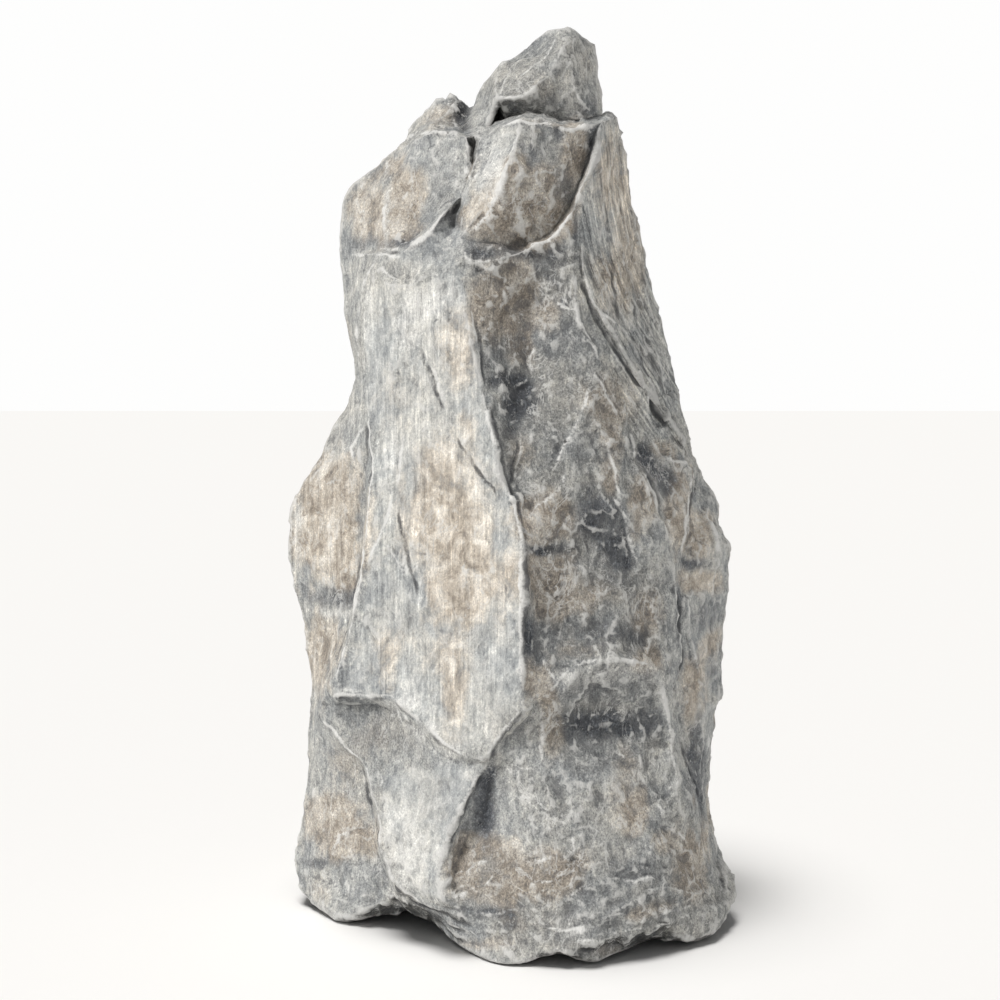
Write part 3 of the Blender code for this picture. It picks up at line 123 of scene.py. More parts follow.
# Patches of colour on the face towards the viewer: (kind, across, down, half width, half height, strength).
# Dark patches are partly dark stone and partly painted shade, pale ones partly pale stone and partly painted
# highlight.
PATCHES = [
    # Pale bands along the arch's lip and the plate's lip, partly pale stone and partly painted highlight.
    ("pale", 560, 692, 12, 14, 0.6), ("pale", 588, 679, 18, 8, 0.75), ("pale", 624, 673, 18, 8, 0.75), ("pale", 650, 682, 9, 12, 0.6),
    ("pale", 398, 705, 16, 7, 0.7), ("pale", 424, 730, 13, 8, 0.7), ("pale", 452, 750, 14, 7, 0.6),
    # left upper block; the dark patches along its foot, in the crease at its right and on the small peak's right side
    # are painted shade, the thin pale stripe down its arris a painted highlight
    ("tan", 402, 202, 17, 30, 0.9), ("tan", 365, 205, 15, 26, 0.55), ("tan", 385, 232, 16, 10, 0.4),
    ("blue", 440, 190, 22, 40, 0.5), ("dark", 405, 244, 20, 5, 0.7), ("dark", 362, 243, 14, 6, 0.45),
    ("dark", 457, 216, 6, 15, 0.6), ("pale", 387, 205, 3.5, 45, 0.6), ("pale", 450, 150, 12, 14, 0.4),
    ("tan", 440, 116, 18, 12, 0.45), ("dark", 461, 112, 9, 16, 0.75), ("blue", 485, 112, 12, 22, 0.4),
    # right upper block; the dark stripe down its right edge and the thin dark patches along the ledge below it are
    # painted shade
    ("pale", 490, 165, 14, 34, 0.65), ("tan", 521, 203, 34, 36, 1.0), ("tan", 576, 150, 9, 26, 0.9),
    ("dark", 592, 150, 7, 30, 0.75), ("blue", 545, 140, 30, 18, 0.45), ("dark", 563, 186, 9, 16, 0.6),
    ("tan", 545, 224, 22, 16, 0.8), ("dark", 552, 228, 14, 12, 0.3), ("dark", 484, 251, 18, 7, 0.7),
    ("dark", 522, 253, 16, 6, 0.7), ("dark", 556, 252, 16, 8, 0.65), ("tan", 480, 225, 14, 12, 0.45),
    ("dark", 540, 108, 34, 10, 0.45), ("dark", 512, 112, 14, 12, 0.4), ("tan", 540, 92, 16, 12, 0.25),
    # slab at the right, upper half; the thin dark stripe along its left edge is painted shade in the split beside it
    ("tan", 612, 176, 16, 32, 0.6), ("blue", 590, 226, 15, 26, 0.5), ("dark", 575.5, 232, 3.5, 22, 0.7),
    ("tan", 606, 276, 12, 26, 0.6), ("tan", 628, 245, 10, 45, 0.55), ("dark", 640, 300, 7, 14, 0.5),
    ("tan", 622, 300, 8, 20, 0.4), ("blue", 660, 360, 14, 34, 0.4), ("tan", 640, 270, 6, 30, 0.4),
    ("tan", 628, 404, 12, 20, 0.35), ("dark", 640, 418, 8, 14, 0.35),
    # long plate
    ("dark", 400, 271, 15, 9, 0.35), ("blue", 380, 310, 16, 16, 0.2), ("blue", 376, 365, 14, 30, 0.3),
    ("tan", 455, 338, 18, 24, 0.4), ("tan", 463, 370, 10, 20, 0.4), ("blue", 462, 412, 14, 22, 0.25),
    ("blue", 438, 352, 12, 12, 0.4), ("tan", 395, 400, 12, 26, 0.25), ("tan", 432, 462, 14, 18, 0.35),
    ("pale", 440, 300, 26, 20, 0.6), ("pale", 405, 320, 10, 26, 0.55), ("pale", 366, 320, 4, 34, 0.5),
    ("blue", 410, 465, 8, 22, 0.45), ("pale", 392, 460, 6, 30, 0.5), ("tan", 400, 500, 6, 26, 0.3),
    ("tan", 452, 528, 30, 62, 0.75), ("tan", 478, 585, 30, 26, 0.7), ("blue", 460, 626, 40, 14, 0.5),
    ("blue", 398, 600, 14, 50, 0.3), ("blue", 372, 590, 10, 14, 0.35), ("dark", 390, 560, 8, 26, 0.2),
    ("tan", 396, 640, 14, 14, 0.3), ("tan", 386, 662, 10, 20, 0.4), ("tan", 456, 690, 12, 40, 0.55),
    ("blue", 353, 674, 12, 14, 0.55), ("pale", 410, 690, 10, 20, 0.4), ("blue", 500, 690, 18, 34, 0.35),
    ("tan", 440, 655, 16, 16, 0.35), ("blue", 490, 660, 20, 14, 0.35), ("pale", 348, 691, 12, 2.5, 0.7),
    ("pale", 402, 707, 10, 4, 0.6), ("blue", 512, 470, 6, 24, 0.3), ("blue", 485, 470, 10, 18, 0.3),
    # left swelling and column
    ("tan", 325, 522, 32, 46, 0.95), ("tan", 330, 475, 17, 13, 0.65), ("tan", 345, 560, 12, 26, 0.75),
    ("blue", 352, 448, 8, 16, 0.5), ("dark", 338, 598, 24, 9, 0.75), ("blue", 302, 592, 12, 10, 0.6),
    ("pale", 338, 613, 18, 4, 0.55), ("tan", 325, 642, 18, 22, 0.55), ("tan", 316, 668, 12, 28, 0.45),
    ("pale", 297, 520, 6, 34, 0.5), ("dark", 362, 500, 4, 30, 0.3), ("blue", 335, 435, 14, 16, 0.35),
    ("blue", 327, 742, 7, 18, 0.35), ("tan", 345, 765, 14, 22, 0.35), ("dark", 348, 760, 12, 26, 0.25),
    ("pale", 350, 791, 14, 3.5, 0.5), ("tan", 333, 815, 22, 15, 0.8), ("tan", 350, 842, 24, 14, 0.85),
    ("dark", 322, 863, 24, 5, 0.65), ("blue", 376, 872, 14, 10, 0.6), ("tan", 318, 886, 12, 12, 0.3),
    ("pale", 342, 884, 14, 10, 0.4), ("dark", 374, 800, 6, 22, 0.35), ("blue", 360, 895, 14, 10, 0.4),
    # undercut and leg; the dark patches under the plate's lip, beside the leg's right edge and in the gap between the
    # feet are painted shade
    ("dark", 345, 708, 16, 12, 0.45), ("dark", 383, 733, 22, 18, 0.45), ("tan", 378, 735, 18, 16, 0.3),
    ("dark", 414, 746, 12, 12, 0.35), ("blue", 425, 790, 22, 36, 0.35), ("pale", 404, 850, 16, 38, 0.6),
    ("pale", 440, 850, 8, 44, 0.4), ("blue", 448, 800, 12, 26, 0.35), ("dark", 486, 806, 9, 36, 0.95),
    ("dark", 408, 914, 10, 9, 0.2), ("dark", 392, 912, 8, 6, 0.4),
    # right of the spine, upper; the dark patches on the steep wall beside the spine are partly dark stone, partly
    # painted shade
    ("tan", 500, 300, 22, 26, 1), ("tan", 520, 322, 10, 36, 1), ("dark", 523, 330, 7, 34, 0.43),
    ("dark", 504, 346, 20, 13, 0.51), ("dark", 505, 381, 18, 7, 0.87), ("dark", 520, 402, 16, 15, 1),
    ("blue", 560, 335, 20, 20, 0.57), ("dark", 551, 276, 14, 12, 0.58), ("dark", 568, 302, 8, 8, 0.65),
    ("tan", 548, 315, 12, 12, 0.65), ("blue", 515, 270, 16, 8, 0.46), ("dark", 512, 425, 8, 20, 0.58),
    ("tan", 520, 455, 10, 14, 0.43), ("tan", 600, 398, 16, 22, 0.51), ("tan", 612, 432, 8, 22, 0.58),
    ("blue", 540, 420, 20, 20, 0.34), ("dark", 570, 445, 10, 10, 0.43), ("dark", 645, 456, 10, 12, 0.94),
    ("tan", 665, 448, 12, 8, 0.58), ("dark", 664, 480, 13, 14, 0.87), ("tan", 676, 506, 9, 32, 0.94),
    ("tan", 642, 505, 10, 22, 0.65), ("pale", 692, 470, 10, 3, 0.46),
    # right of the spine, middle; the dark line along the crease at the top and the dark strip beside the spine are
    # painted shade
    ("tan", 540, 526, 22, 14, 1), ("tan", 548, 506, 18, 12, 0.8), ("dark", 546, 550, 18, 5, 1),
    ("tan", 545, 571, 22, 14, 1), ("pale", 541, 588, 9, 9, 0.34), ("tan", 556, 602, 20, 16, 0.87),
    ("dark", 602, 528, 26, 32, 0.8), ("dark", 625, 560, 12, 9, 0.87), ("tan", 608, 480, 8, 14, 0.58),
    ("dark", 590, 500, 14, 12, 0.51), ("tan", 596, 596, 15, 12, 0.51), ("dark", 620, 585, 26, 14, 0.51),
    ("dark", 528, 640, 7, 20, 1), ("blue", 546, 636, 14, 14, 0.63), ("dark", 600, 632, 26, 12, 0.58),
    ("dark", 636, 634, 14, 12, 0.65), ("tan", 646, 616, 14, 16, 0.65), ("tan", 575, 650, 20, 8, 0.36),
    ("tan", 651, 660, 10, 12, 0.94),
    # knob and strip; the thin upright dark stripe in the groove beside the strip is painted shade
    ("tan", 699, 536, 10, 18, 0.85), ("dark", 692, 564, 16, 6, 0.75), ("tan", 702, 581, 20, 9, 0.8),
    ("dark", 703, 615, 17, 15, 0.65), ("tan", 715, 640, 8, 12, 0.55), ("tan", 692, 690, 10, 26, 0.7),
    ("dark", 678, 622, 4, 24, 0.6), ("dark", 696, 765, 9, 42, 0.75), ("dark", 712, 680, 6, 18, 0.4),
    ("tan", 706, 655, 8, 14, 0.35), ("pale", 715, 735, 4, 20, 0.4), ("blue", 708, 505, 8, 12, 0.3),
    # arch; the dark patches in its hollow are partly dark stone, partly painted shade on faces that turn down, the
    # thin pale stripe on its right rim partly a painted highlight
    ("tan", 530, 682, 6, 20, 0.6), ("tan", 546, 690, 8, 20, 0.6), ("tan", 552, 724, 9, 22, 0.75),
    ("dark", 576, 690, 16, 10, 0.3), ("dark", 586, 724, 24, 15, 0.85), ("dark", 622, 724, 24, 12, 0.95),
    ("dark", 652, 722, 13, 12, 0.7), ("pale", 641, 703, 10, 6, 0.4), ("tan", 620, 670, 30, 5, 0.3),
    ("tan", 626, 762, 12, 14, 0.4), ("dark", 600, 775, 20, 8, 0.35), ("dark", 650, 765, 12, 10, 0.35),
    ("pale", 664, 700, 3, 24, 0.6), ("dark", 520, 733, 8, 10, 0.35),
    # lower right
    ("pale", 532, 798, 15, 5, 0.5), ("tan", 630, 808, 14, 18, 0.8), ("blue", 530, 775, 24, 14, 0.3),
    ("pale", 514, 768, 14, 5, 0.4), ("tan", 555, 862, 26, 12, 0.65), ("tan", 545, 884, 26, 12, 0.75),
    ("tan", 508, 882, 13, 26, 0.8), ("dark", 497, 872, 8, 18, 0.4), ("tan", 466, 862, 14, 14, 0.65),
    ("tan", 490, 846, 16, 10, 0.55), ("tan", 470, 885, 18, 14, 0.55), ("dark", 492, 911, 28, 6, 0.7),
    ("dark", 507, 925, 13, 6, 0.6), ("tan", 520, 928, 8, 8, 0.3), ("tan", 480, 840, 20, 8, 0.35),
    ("blue", 662, 877, 20, 8, 0.5), ("dark", 652, 866, 14, 8, 0.5), ("dark", 620, 871, 15, 9, 0.5),
    ("tan", 690, 866, 13, 24, 0.85), ("tan", 664, 841, 9, 9, 0.6), ("dark", 610, 850, 16, 12, 0.25),
    ("blue", 574, 916, 22, 10, 0.5), ("dark", 585, 900, 24, 8, 0.35), ("blue", 570, 936, 30, 7, 0.5),
    ("tan", 636, 914, 14, 6, 0.5), ("tan", 662, 908, 15, 6, 0.45), ("pale", 704, 905, 12, 12, 0.35),
    # The two dark patches on the next line are painted shade at the foot of the rim.
    ("dark", 590, 953, 28, 6, 0.6), ("tan", 606, 950, 11, 6, 0.4), ("dark", 640, 944, 30, 4, 0.55),
    ("dark", 722, 880, 4, 16, 0.45), ("tan", 703, 832, 5, 12, 0.5), ("dark", 700, 808, 4, 22, 0.45),
    ("blue", 470, 940, 12, 10, 0.35), ("tan", 492, 944, 20, 6, 0.4), ("dark", 640, 895, 24, 7, 0.3),
    ("blue", 590, 885, 24, 8, 0.3),
    # peak
    ("blue", 556, 60, 10, 14, 0.3), ("dark", 585, 90, 6, 20, 0.35), ("dark", 582, 44, 8, 6, 0.35),
    ("tan", 588, 62, 6, 10, 0.25), ("dark", 548, 38, 8, 6, 0.3),
]


# ---------------------------------------------------------------------------
# The skin: the imported solid's own surface, cut finer, eased and chipped.
# ---------------------------------------------------------------------------
# Edges of the layers, seen from the front: height of the step in mm (positive where the side on the right hand of
# somebody walking down the list, as on a map, stands higher), reach of its swell in pixels, strength of the pale
# edge, partly pale wear and partly a painted highlight, strength of the painted shade at its foot, and the line.
EDGES = [
    # left block
    (2.5, 18, 0.8, 0.7, [(462, 198), (452, 210), (440, 221), (430, 234), (417, 243), (402, 250), (390, 252), (376, 249)]),
    (0.6, 6, 0.75, 0.0, [(438, 228), (425, 240), (410, 252), (398, 258), (384, 257), (370, 255), (345, 257)]),
    (1.2, 10, 0.7, 0.2, [(389, 158), (387, 172), (387, 188), (390, 198), (386, 212), (385, 228), (382, 244)]),
    (-1.2, 10, 0.3, 0.2, [(352, 196), (350, 212), (357, 232)]),
    (1.5, 12, 0.7, 0.4, [(467, 142), (468, 158), (467, 172), (474, 180), (484, 168)]),
    (0.8, 6, 0.75, 0.0, [(405, 142), (420, 134), (436, 130), (450, 133), (459, 134)]),
    (0.8, 6, 0.6, 0.3, [(448, 98), (452, 112), (456, 126), (459, 134)]),
    # right block and peak
    (-1.8, 16, 0.85, 0.0, [(522, 123), (515, 140), (508, 158), (501, 182), (496, 198), (486, 214), (475, 226), (463, 236)]),
    (1.4, 10, 0.3, 0.2, [(500, 186), (503, 205), (510, 222)]),
    (1.2, 8, 0.9, 0.1, [(497, 128), (508, 124), (520, 119), (532, 123), (546, 122), (558, 127), (570, 130), (584, 127), (600, 126)]),
    (-2.4, 14, 0.6, 0.9, [(597, 134), (595, 150), (590, 164), (583, 178), (578, 192), (575, 206)]),
    (-2.0, 10, 0.85, 0.6, [(572, 210), (565, 222), (556, 232), (547, 240), (534, 244), (526, 249)]),
    (1.0, 8, 0.3, 0.6, [(568, 140), (570, 158), (578, 176)]),
    (1.2, 10, 0.7, 0.5, [(500, 98), (514, 97), (528, 93), (536, 86)]),
    (-1.2, 10, 0.7, 0.2, [(574, 92), (581, 104), (592, 112)]),
    (0.8, 8, 0.6, 0.1, [(586, 108), (578, 114), (572, 126)]),
    (-1.4, 12, 0.5, 0.3, [(512, 66), (504, 82), (500, 98)]),
    (-1.4, 10, 0.6, 0.1, [(560, 34), (552, 46), (544, 60), (528, 72), (515, 80)]),
    (-1.2, 10, 0.5, 0.3, [(572, 32), (574, 50), (566, 66), (560, 84)]),
    (1.0, 10, 0.2, 0.4, [(530, 50), (526, 62), (516, 72)]),
    # ledge under the blocks
    (1.6, 10, 0.6, 0.5, [(385, 262), (387, 272), (396, 280), (412, 281), (419, 277)]),
    (0.8, 8, 0.5, 0.5, [(464, 238), (463, 250), (468, 260), (484, 262), (502, 257), (514, 262), (526, 262)]),
    (1.0, 8, 0.3, 0.6, [(528, 250), (532, 262), (534, 276), (540, 288)]),
    (-0.9, 8, 0.6, 0.2, [(540, 290), (552, 300), (560, 290), (566, 280)]),
    (-1.0, 8, 0.75, 0.5, [(556, 300), (564, 308), (576, 311), (579, 322)]),
    # long plate and the column beside it
    (-1.6, 14, 0.7, 0.3, [(383, 250), (374, 262), (365, 281), (360, 305), (358, 340), (360, 372)]),
    (-4.5, 30, 0.85, 0.8, [(378, 384), (371, 410), (370, 440), (374, 474), (368, 508), (365, 545), (360, 580), (354, 612), (347, 640), (341, 664), (331, 686)]),
    (1.4, 12, 0.6, 0.5, [(418, 283), (419, 300), (419, 322)]),
    (-1.0, 10, 0.7, 0.1, [(402, 300), (405, 318), (406, 334), (409, 352)]),
    (-2.0, 16, 0.5, 0.9, [(421, 346), (427, 362), (432, 378), (438, 392), (443, 402), (447, 414)]),
    (-2.2, 18, 0.5, 0.9, [(455, 430), (463, 444), (471, 455), (480, 469), (487, 480), (496, 487), (500, 500)]),
    (-1.5, 14, 0.75, 0.2, [(403, 420), (402, 444), (398, 474), (392, 498), (386, 520), (380, 536), (371, 560), (364, 584)]),
    (2.6, 12, 0.85, 0.1, [(386, 538), (393, 552), (401, 566), (407, 582), (411, 596), (415, 606)]),
    (-2.0, 14, 0.2, 0.95, [(401, 506), (403, 528), (407, 548), (412, 566), (417, 584), (421, 602)]),
    (-1.2, 10, 0.5, 0.4, [(413, 472), (418, 484), (422, 500)]),
    (0.8, 10, 0.3, 0.5, [(452, 522), (457, 546)]),
    (0.9, 10, 0.3, 0.6, [(353, 500), (357, 518), (359, 540)]),
    (0.9, 10, 0.3, 0.5, [(318, 508), (323, 522), (320, 540)]),
    (1.2, 12, 0.7, 0.2, [(369, 424), (360, 436), (352, 448), (355, 460)]),
    (3.0, 20, 0.9, 0.9, [(469, 280), (472, 308), (476, 338), (481, 368), (483, 394), (488, 415), (494, 436), (500, 456), (504, 476), (511, 496), (517, 515), (522, 536), (523, 560), (523, 590), (521, 620), (522, 655), (522, 706)]),
    (-0.8, 10, 0.4, 0.2, [(437, 645), (434, 664), (436, 690), (430, 706)]),
    (1.2, 10, 0.3, 0.5, [(432, 596), (428, 606), (424, 620)]),
    # between the spine and the slab
    (-2.2, 12, 0.5, 0.9, [(510, 366), (503, 380), (514, 388), (530, 380)]),
    (-2.2, 12, 0.6, 0.7, [(535, 345), (528, 362), (534, 378)]),
    (-2.5, 14, 0.5, 0.8, [(518, 432), (519, 448), (515, 466), (514, 490)]),
    (2.8, 16, 0.85, 0.5, [(577, 262), (576, 282), (575, 300), (579, 320), (588, 336), (596, 352), (601, 368)]),
    (2.9, 14, 0.8, 0.6, [(592, 372), (604, 388), (612, 402), (620, 416)]),
    (-2.8, 16, 0.72, 0.4, [(590, 376), (585, 396), (580, 412), (572, 430), (563, 446), (556, 462), (553, 474)]),
    (-2.4, 14, 0.75, 0.4, [(564, 468), (561, 484), (549, 497), (536, 506), (526, 522)]),
    (-2.2, 10, 0.9, 0.6, [(628, 432), (632, 446), (630, 460)]),
    (2.5, 12, 0.9, 0.5, [(650, 438), (658, 452), (668, 462), (684, 464), (694, 470)]),
    (2.9, 12, 1, 0.7, [(640, 470), (650, 481), (657, 493), (660, 508), (664, 524), (668, 545)]),
    (-2.5, 12, 0.95, 0.6, [(611, 494), (620, 508), (626, 522), (630, 540), (635, 556), (640, 570)]),
    (2.4, 14, 0.9, 0.6, [(696, 468), (688, 497), (682, 526), (677, 560)]),
    (-1.8, 12, 0.7, 0.5, [(604, 440), (610, 462), (614, 486), (621, 505)]),
    # slab
    (-3.4, 22, 0.7, 1.0, [(577, 262), (583, 280), (590, 298), (597, 313), (602, 324), (609, 334), (617, 346), (623, 359), (631, 370), (639, 383), (649, 394), (656, 406), (663, 419), (671, 433), (681, 448), (691, 463)]),
    (1.2, 8, 0.9, 0.0, [(590, 296), (597, 306), (606, 316), (617, 326)]),
    (-2.0, 14, 0.5, 0.85, [(607, 250), (611, 280), (616, 304), (624, 322), (633, 336), (640, 352), (648, 370), (658, 388), (667, 404)]),
    (-1.8, 12, 0.4, 0.75, [(628, 262), (630, 288), (633, 306), (641, 330), (649, 350), (658, 370), (670, 396), (680, 420)]),
    (-1.2, 10, 0.4, 0.6, [(588, 252), (594, 276), (602, 294), (612, 312)]),
    (-1.2, 10, 0.3, 0.6, [(640, 250), (644, 276), (652, 306), (660, 336), (670, 366)]),
    (-1.0, 10, 0.3, 0.5, [(600, 240), (603, 262), (606, 284)]),
    (-1.0, 10, 0.3, 0.45, [(618, 160), (622, 200), (626, 240), (636, 290)]),
    (-1.0, 10, 0.4, 0.4, [(586, 200), (584, 222), (590, 244)]),
    # knob, strip and ribs
    (3.0, 12, 0.7, 0.95, [(695, 473), (690, 494), (686, 514), (684, 534), (679, 554)]),
    (-2.2, 14, 0.6, 0.5, [(697, 504), (701, 516), (709, 524), (713, 540), (714, 556)]),
    (1.4, 12, 0.2, 0.5, [(718, 560), (704, 562), (690, 566), (678, 570)]),
    (2.6, 10, 0.7, 0.95, [(674, 580), (675, 604), (676, 630), (678, 656), (676, 684)]),
    (-1.6, 8, 0.7, 0.4, [(688, 588), (688, 610), (687, 632), (690, 654), (688, 670)]),
    (1.5, 10, 0.2, 0.8, [(662, 560), (668, 580), (670, 598)]),
    (2.8, 10, 1.0, 0.4, [(660, 684), (664, 698), (668, 714), (672, 732), (673, 752), (677, 776)]),
    (2.4, 10, 0.4, 1.0, [(680, 738), (684, 762), (690, 784), (696, 804), (699, 826)]),
    (-1.6, 8, 0.6, 0.2, [(712, 705), (708, 732), (706, 764), (705, 800), (708, 828)]),
    # arch and hollow
    (-2.6, 12, 0.9, 0.3, [(543, 704), (551, 690), (560, 680), (570, 670), (584, 663), (602, 661), (620, 660), (642, 664), (660, 668)]),
    (-1.4, 12, 0.6, 0.3, [(540, 658), (546, 670), (556, 682)]),
    (1.6, 10, 0.4, 0.7, [(523, 655), (534, 662), (542, 668)]),
    (1.2, 10, 0.2, 0.6, [(561, 600), (566, 626), (570, 650)]),
    (1.4, 12, 0.1, 0.5, [(536, 552), (548, 548), (562, 554), (578, 556)]),
    (-1.2, 10, 0.4, 0.5, [(534, 562), (543, 580), (552, 594), (560, 612)]),
    (-1.2, 10, 0.2, 0.7, [(589, 520), (590, 544), (592, 570)]),
    (1.2, 12, 0.0, 0.3, [(560, 716), (590, 712), (620, 714), (652, 716)]),
    (-1.2, 10, 0.5, 0.3, [(566, 752), (580, 764), (600, 768), (616, 752), (632, 764)]),
    (-1.2, 10, 0.7, 0.3, [(540, 700), (541, 724), (540, 748), (546, 768)]),
    # lip of the plate, the hollow below it and the leg
    (-2.6, 14, 0.95, 0.6, [(320, 716), (330, 700), (341, 694), (370, 696), (392, 697), (402, 706), (416, 716), (430, 730), (444, 743), (458, 752), (472, 757), (486, 758)]),
    (-2.8, 14, 0.7, 0.95, [(486, 758), (496, 742), (505, 729), (515, 717), (524, 707)]),
    (-1.2, 8, 0.7, 0.5, [(392, 700), (398, 712), (404, 724)]),
    (-1.0, 8, 0.6, 0.5, [(402, 712), (410, 722), (416, 732)]),
    (-1.0, 8, 0.5, 0.5, [(414, 722), (420, 732), (424, 740)]),
    (-1.6, 12, 0.8, 0.3, [(320, 718), (331, 728), (342, 744), (352, 754), (364, 761)]),
    (-4.0, 20, 0.7, 1.0, [(352, 756), (364, 766), (369, 780), (370, 796), (377, 810), (380, 830), (381, 848), (388, 862), (395, 879), (406, 889), (420, 900), (438, 908), (456, 914)]),
    (3.6, 20, 0.7, 0.95, [(484, 764), (477, 780), (468, 796), (461, 812), (455, 826), (447, 842), (443, 862)]),
    (-1.2, 10, 0.6, 0.2, [(380, 792), (384, 780), (378, 770)]),
    (1.2, 10, 0.3, 0.5, [(500, 740), (496, 770), (500, 800)]),
    # feet
    (1.4, 12, 0.6, 0.4, [(372, 828), (356, 828), (342, 836), (336, 850), (334, 860)]),
    (1.2, 12, 0.5, 0.3, [(356, 886), (346, 898), (340, 908)]),
    (1.0, 12, 0.1, 0.3, [(302, 858), (322, 863), (350, 868), (372, 866)]),
    (1.4, 12, 0.7, 0.2, [(516, 794), (530, 797), (542, 804), (550, 812)]),
    (-1.0, 10, 0.6, 0.3, [(507, 762), (518, 768), (534, 770), (546, 776)]),
    (1.2, 12, 0.6, 0.3, [(574, 828), (590, 826), (602, 832)]),
    (-1.2, 12, 0.6, 0.3, [(656, 800), (662, 818), (668, 828), (680, 834), (692, 846)]),
    (1.6, 12, 0.5, 0.6, [(520, 856), (532, 862), (546, 856), (562, 860), (574, 852)]),
    (1.4, 12, 0.6, 0.4, [(523, 868), (536, 880), (552, 880), (566, 868), (574, 862)]),
    (-1.4, 10, 0.6, 0.3, [(570, 830), (574, 850), (572, 872), (568, 894)]),
    (1.4, 12, 0.6, 0.3, [(566, 898), (578, 888), (590, 882)]),
    (1.6, 12, 0.6, 0.6, [(604, 882), (616, 876), (632, 882), (646, 876), (660, 880)]),
    (1.4, 12, 0.3, 0.7, [(604, 862), (620, 874), (640, 866), (656, 872), (672, 866)]),
    (1.6, 14, 0.2, 0.4, [(448, 908), (470, 912), (495, 912), (520, 912), (548, 908)]),
    (1.6, 14, 0.7, 0.4, [(524, 918), (545, 926), (566, 930), (590, 922), (612, 914), (640, 914)]),
    (1.6, 14, 0.7, 0.4, [(560, 944), (584, 938), (606, 940), (630, 930), (655, 926), (680, 916), (706, 908)]),
    (1.4, 10, 0.6, 0.5, [(650, 906), (668, 910), (686, 906), (700, 898)]),
    (1.4, 14, 0.5, 0.4, [(640, 892), (664, 886), (686, 892), (706, 890)]),
    (-1.8, 10, 0.6, 0.7, [(716, 858), (720, 872), (724, 888), (722, 898)]),
    (1.4, 12, 0.6, 0.4, [(452, 896), (468, 890), (484, 884), (496, 872)]),
    (1.2, 12, 0.6, 0.4, [(450, 874), (466, 872), (478, 862), (492, 856)]),
]

# Broad light and dark areas on the side towards the viewer, partly the stone's own tone and partly painted light and
# shade:
# how much lighter or darker, softness of the border in pixels, and the outline.
AREAS = [
    (1.36, 9, [(370, 284), (405, 287), (420, 280), (462, 268), (470, 300), (478, 360), (484, 400), (494, 440), (504, 478), (515, 520), (521, 545), (520, 600), (520, 660), (520, 702), (490, 746), (455, 748), (430, 730), (400, 701), (347, 692), (356, 640), (366, 590), (369, 520), (377, 440), (368, 400), (362, 340)]),
    (1.18, 12, [(290, 500), (320, 460), (360, 440), (364, 520), (356, 590), (300, 590)]),
    (1.05, 10, [(300, 610), (352, 600), (340, 660), (325, 700), (312, 680)]),
    (1.20, 8, [(400, 250), (440, 222), (470, 185), (500, 130), (518, 124), (506, 165), (492, 205), (462, 236), (455, 262), (420, 276), (392, 258)]),
    (1.12, 8, [(392, 150), (440, 134), (464, 140), (466, 180), (440, 200), (400, 180)]),
    (0.72, 12, [(474, 268), (570, 262), (575, 310), (596, 350), (590, 372), (575, 400), (562, 450), (545, 496), (522, 520), (508, 478), (492, 410), (484, 350)]),
    (0.76, 14, [(527, 548), (560, 505), (620, 510), (640, 565), (668, 595), (668, 655), (600, 655), (555, 678), (527, 652)]),
    (0.72, 10, [(552, 694), (582, 672), (652, 676), (660, 720), (664, 745), (640, 770), (575, 775), (545, 745), (546, 705)]),
    (1.30, 12, [(598, 130), (620, 125), (640, 210), (648, 250), (600, 245), (585, 215), (580, 190)]),
    (1.00, 10, [(600, 245), (648, 250), (664, 320), (690, 425), (690, 450), (668, 425), (620, 350), (588, 292)]),
    (1.25, 9, [(696, 500), (722, 520), (727, 560), (720, 640), (716, 720), (708, 770), (690, 720), (684, 600), (690, 545)]),
    (1.10, 9, [(640, 470), (690, 470), (680, 560), (672, 640), (660, 600), (664, 540)]),
    (0.84, 12, [(450, 845), (530, 850), (700, 855), (730, 900), (720, 935), (600, 960), (500, 950), (450, 910)]),
    (1.30, 8, [(384, 775), (440, 765), (480, 765), (460, 805), (444, 845), (440, 900), (410, 890), (392, 862), (384, 820)]),
    # Painted shade in the undercut below the plate's lip.
    (0.88, 9, [(336, 700), (395, 704), (425, 738), (400, 748), (384, 775), (348, 758)]),
    # Painted shade in the next four: the small peak's shaded side, the hole under the peak and two crevices.
    (0.50, 4, [(451, 97), (470, 104), (467, 128), (459, 134)]),
    (0.55, 4, [(497, 101), (510, 101), (498, 124), (487, 135)]),
    (0.55, 4, [(470, 142), (480, 142), (478, 160), (474, 178), (468, 172)]),
    (0.60, 5, [(452, 208), (462, 202), (466, 216), (462, 230), (450, 226)]),
    (0.82, 9, [(475, 96), (505, 62), (560, 30), (596, 45), (602, 112), (590, 112), (540, 90), (498, 100)]),
    (0.80, 9, [(498, 100), (540, 90), (590, 112), (594, 122), (500, 124)]),
    (0.88, 10, [(528, 128), (594, 130), (574, 205), (550, 236), (510, 246), (500, 200)]),
    (0.84, 12, [(560, 400), (600, 360), (640, 420), (660, 470), (640, 500), (560, 505), (530, 500)]),
    (1.16, 9, [(545, 70), (575, 40), (598, 50), (600, 112), (570, 110), (550, 95)]),
    (0.92, 14, [(530, 780), (640, 775), (700, 800), (700, 860), (530, 850)]),
    # Painted shade in the crease under the right block.
    (0.80, 10, [(470, 245), (574, 240), (574, 262), (470, 262)]),
]

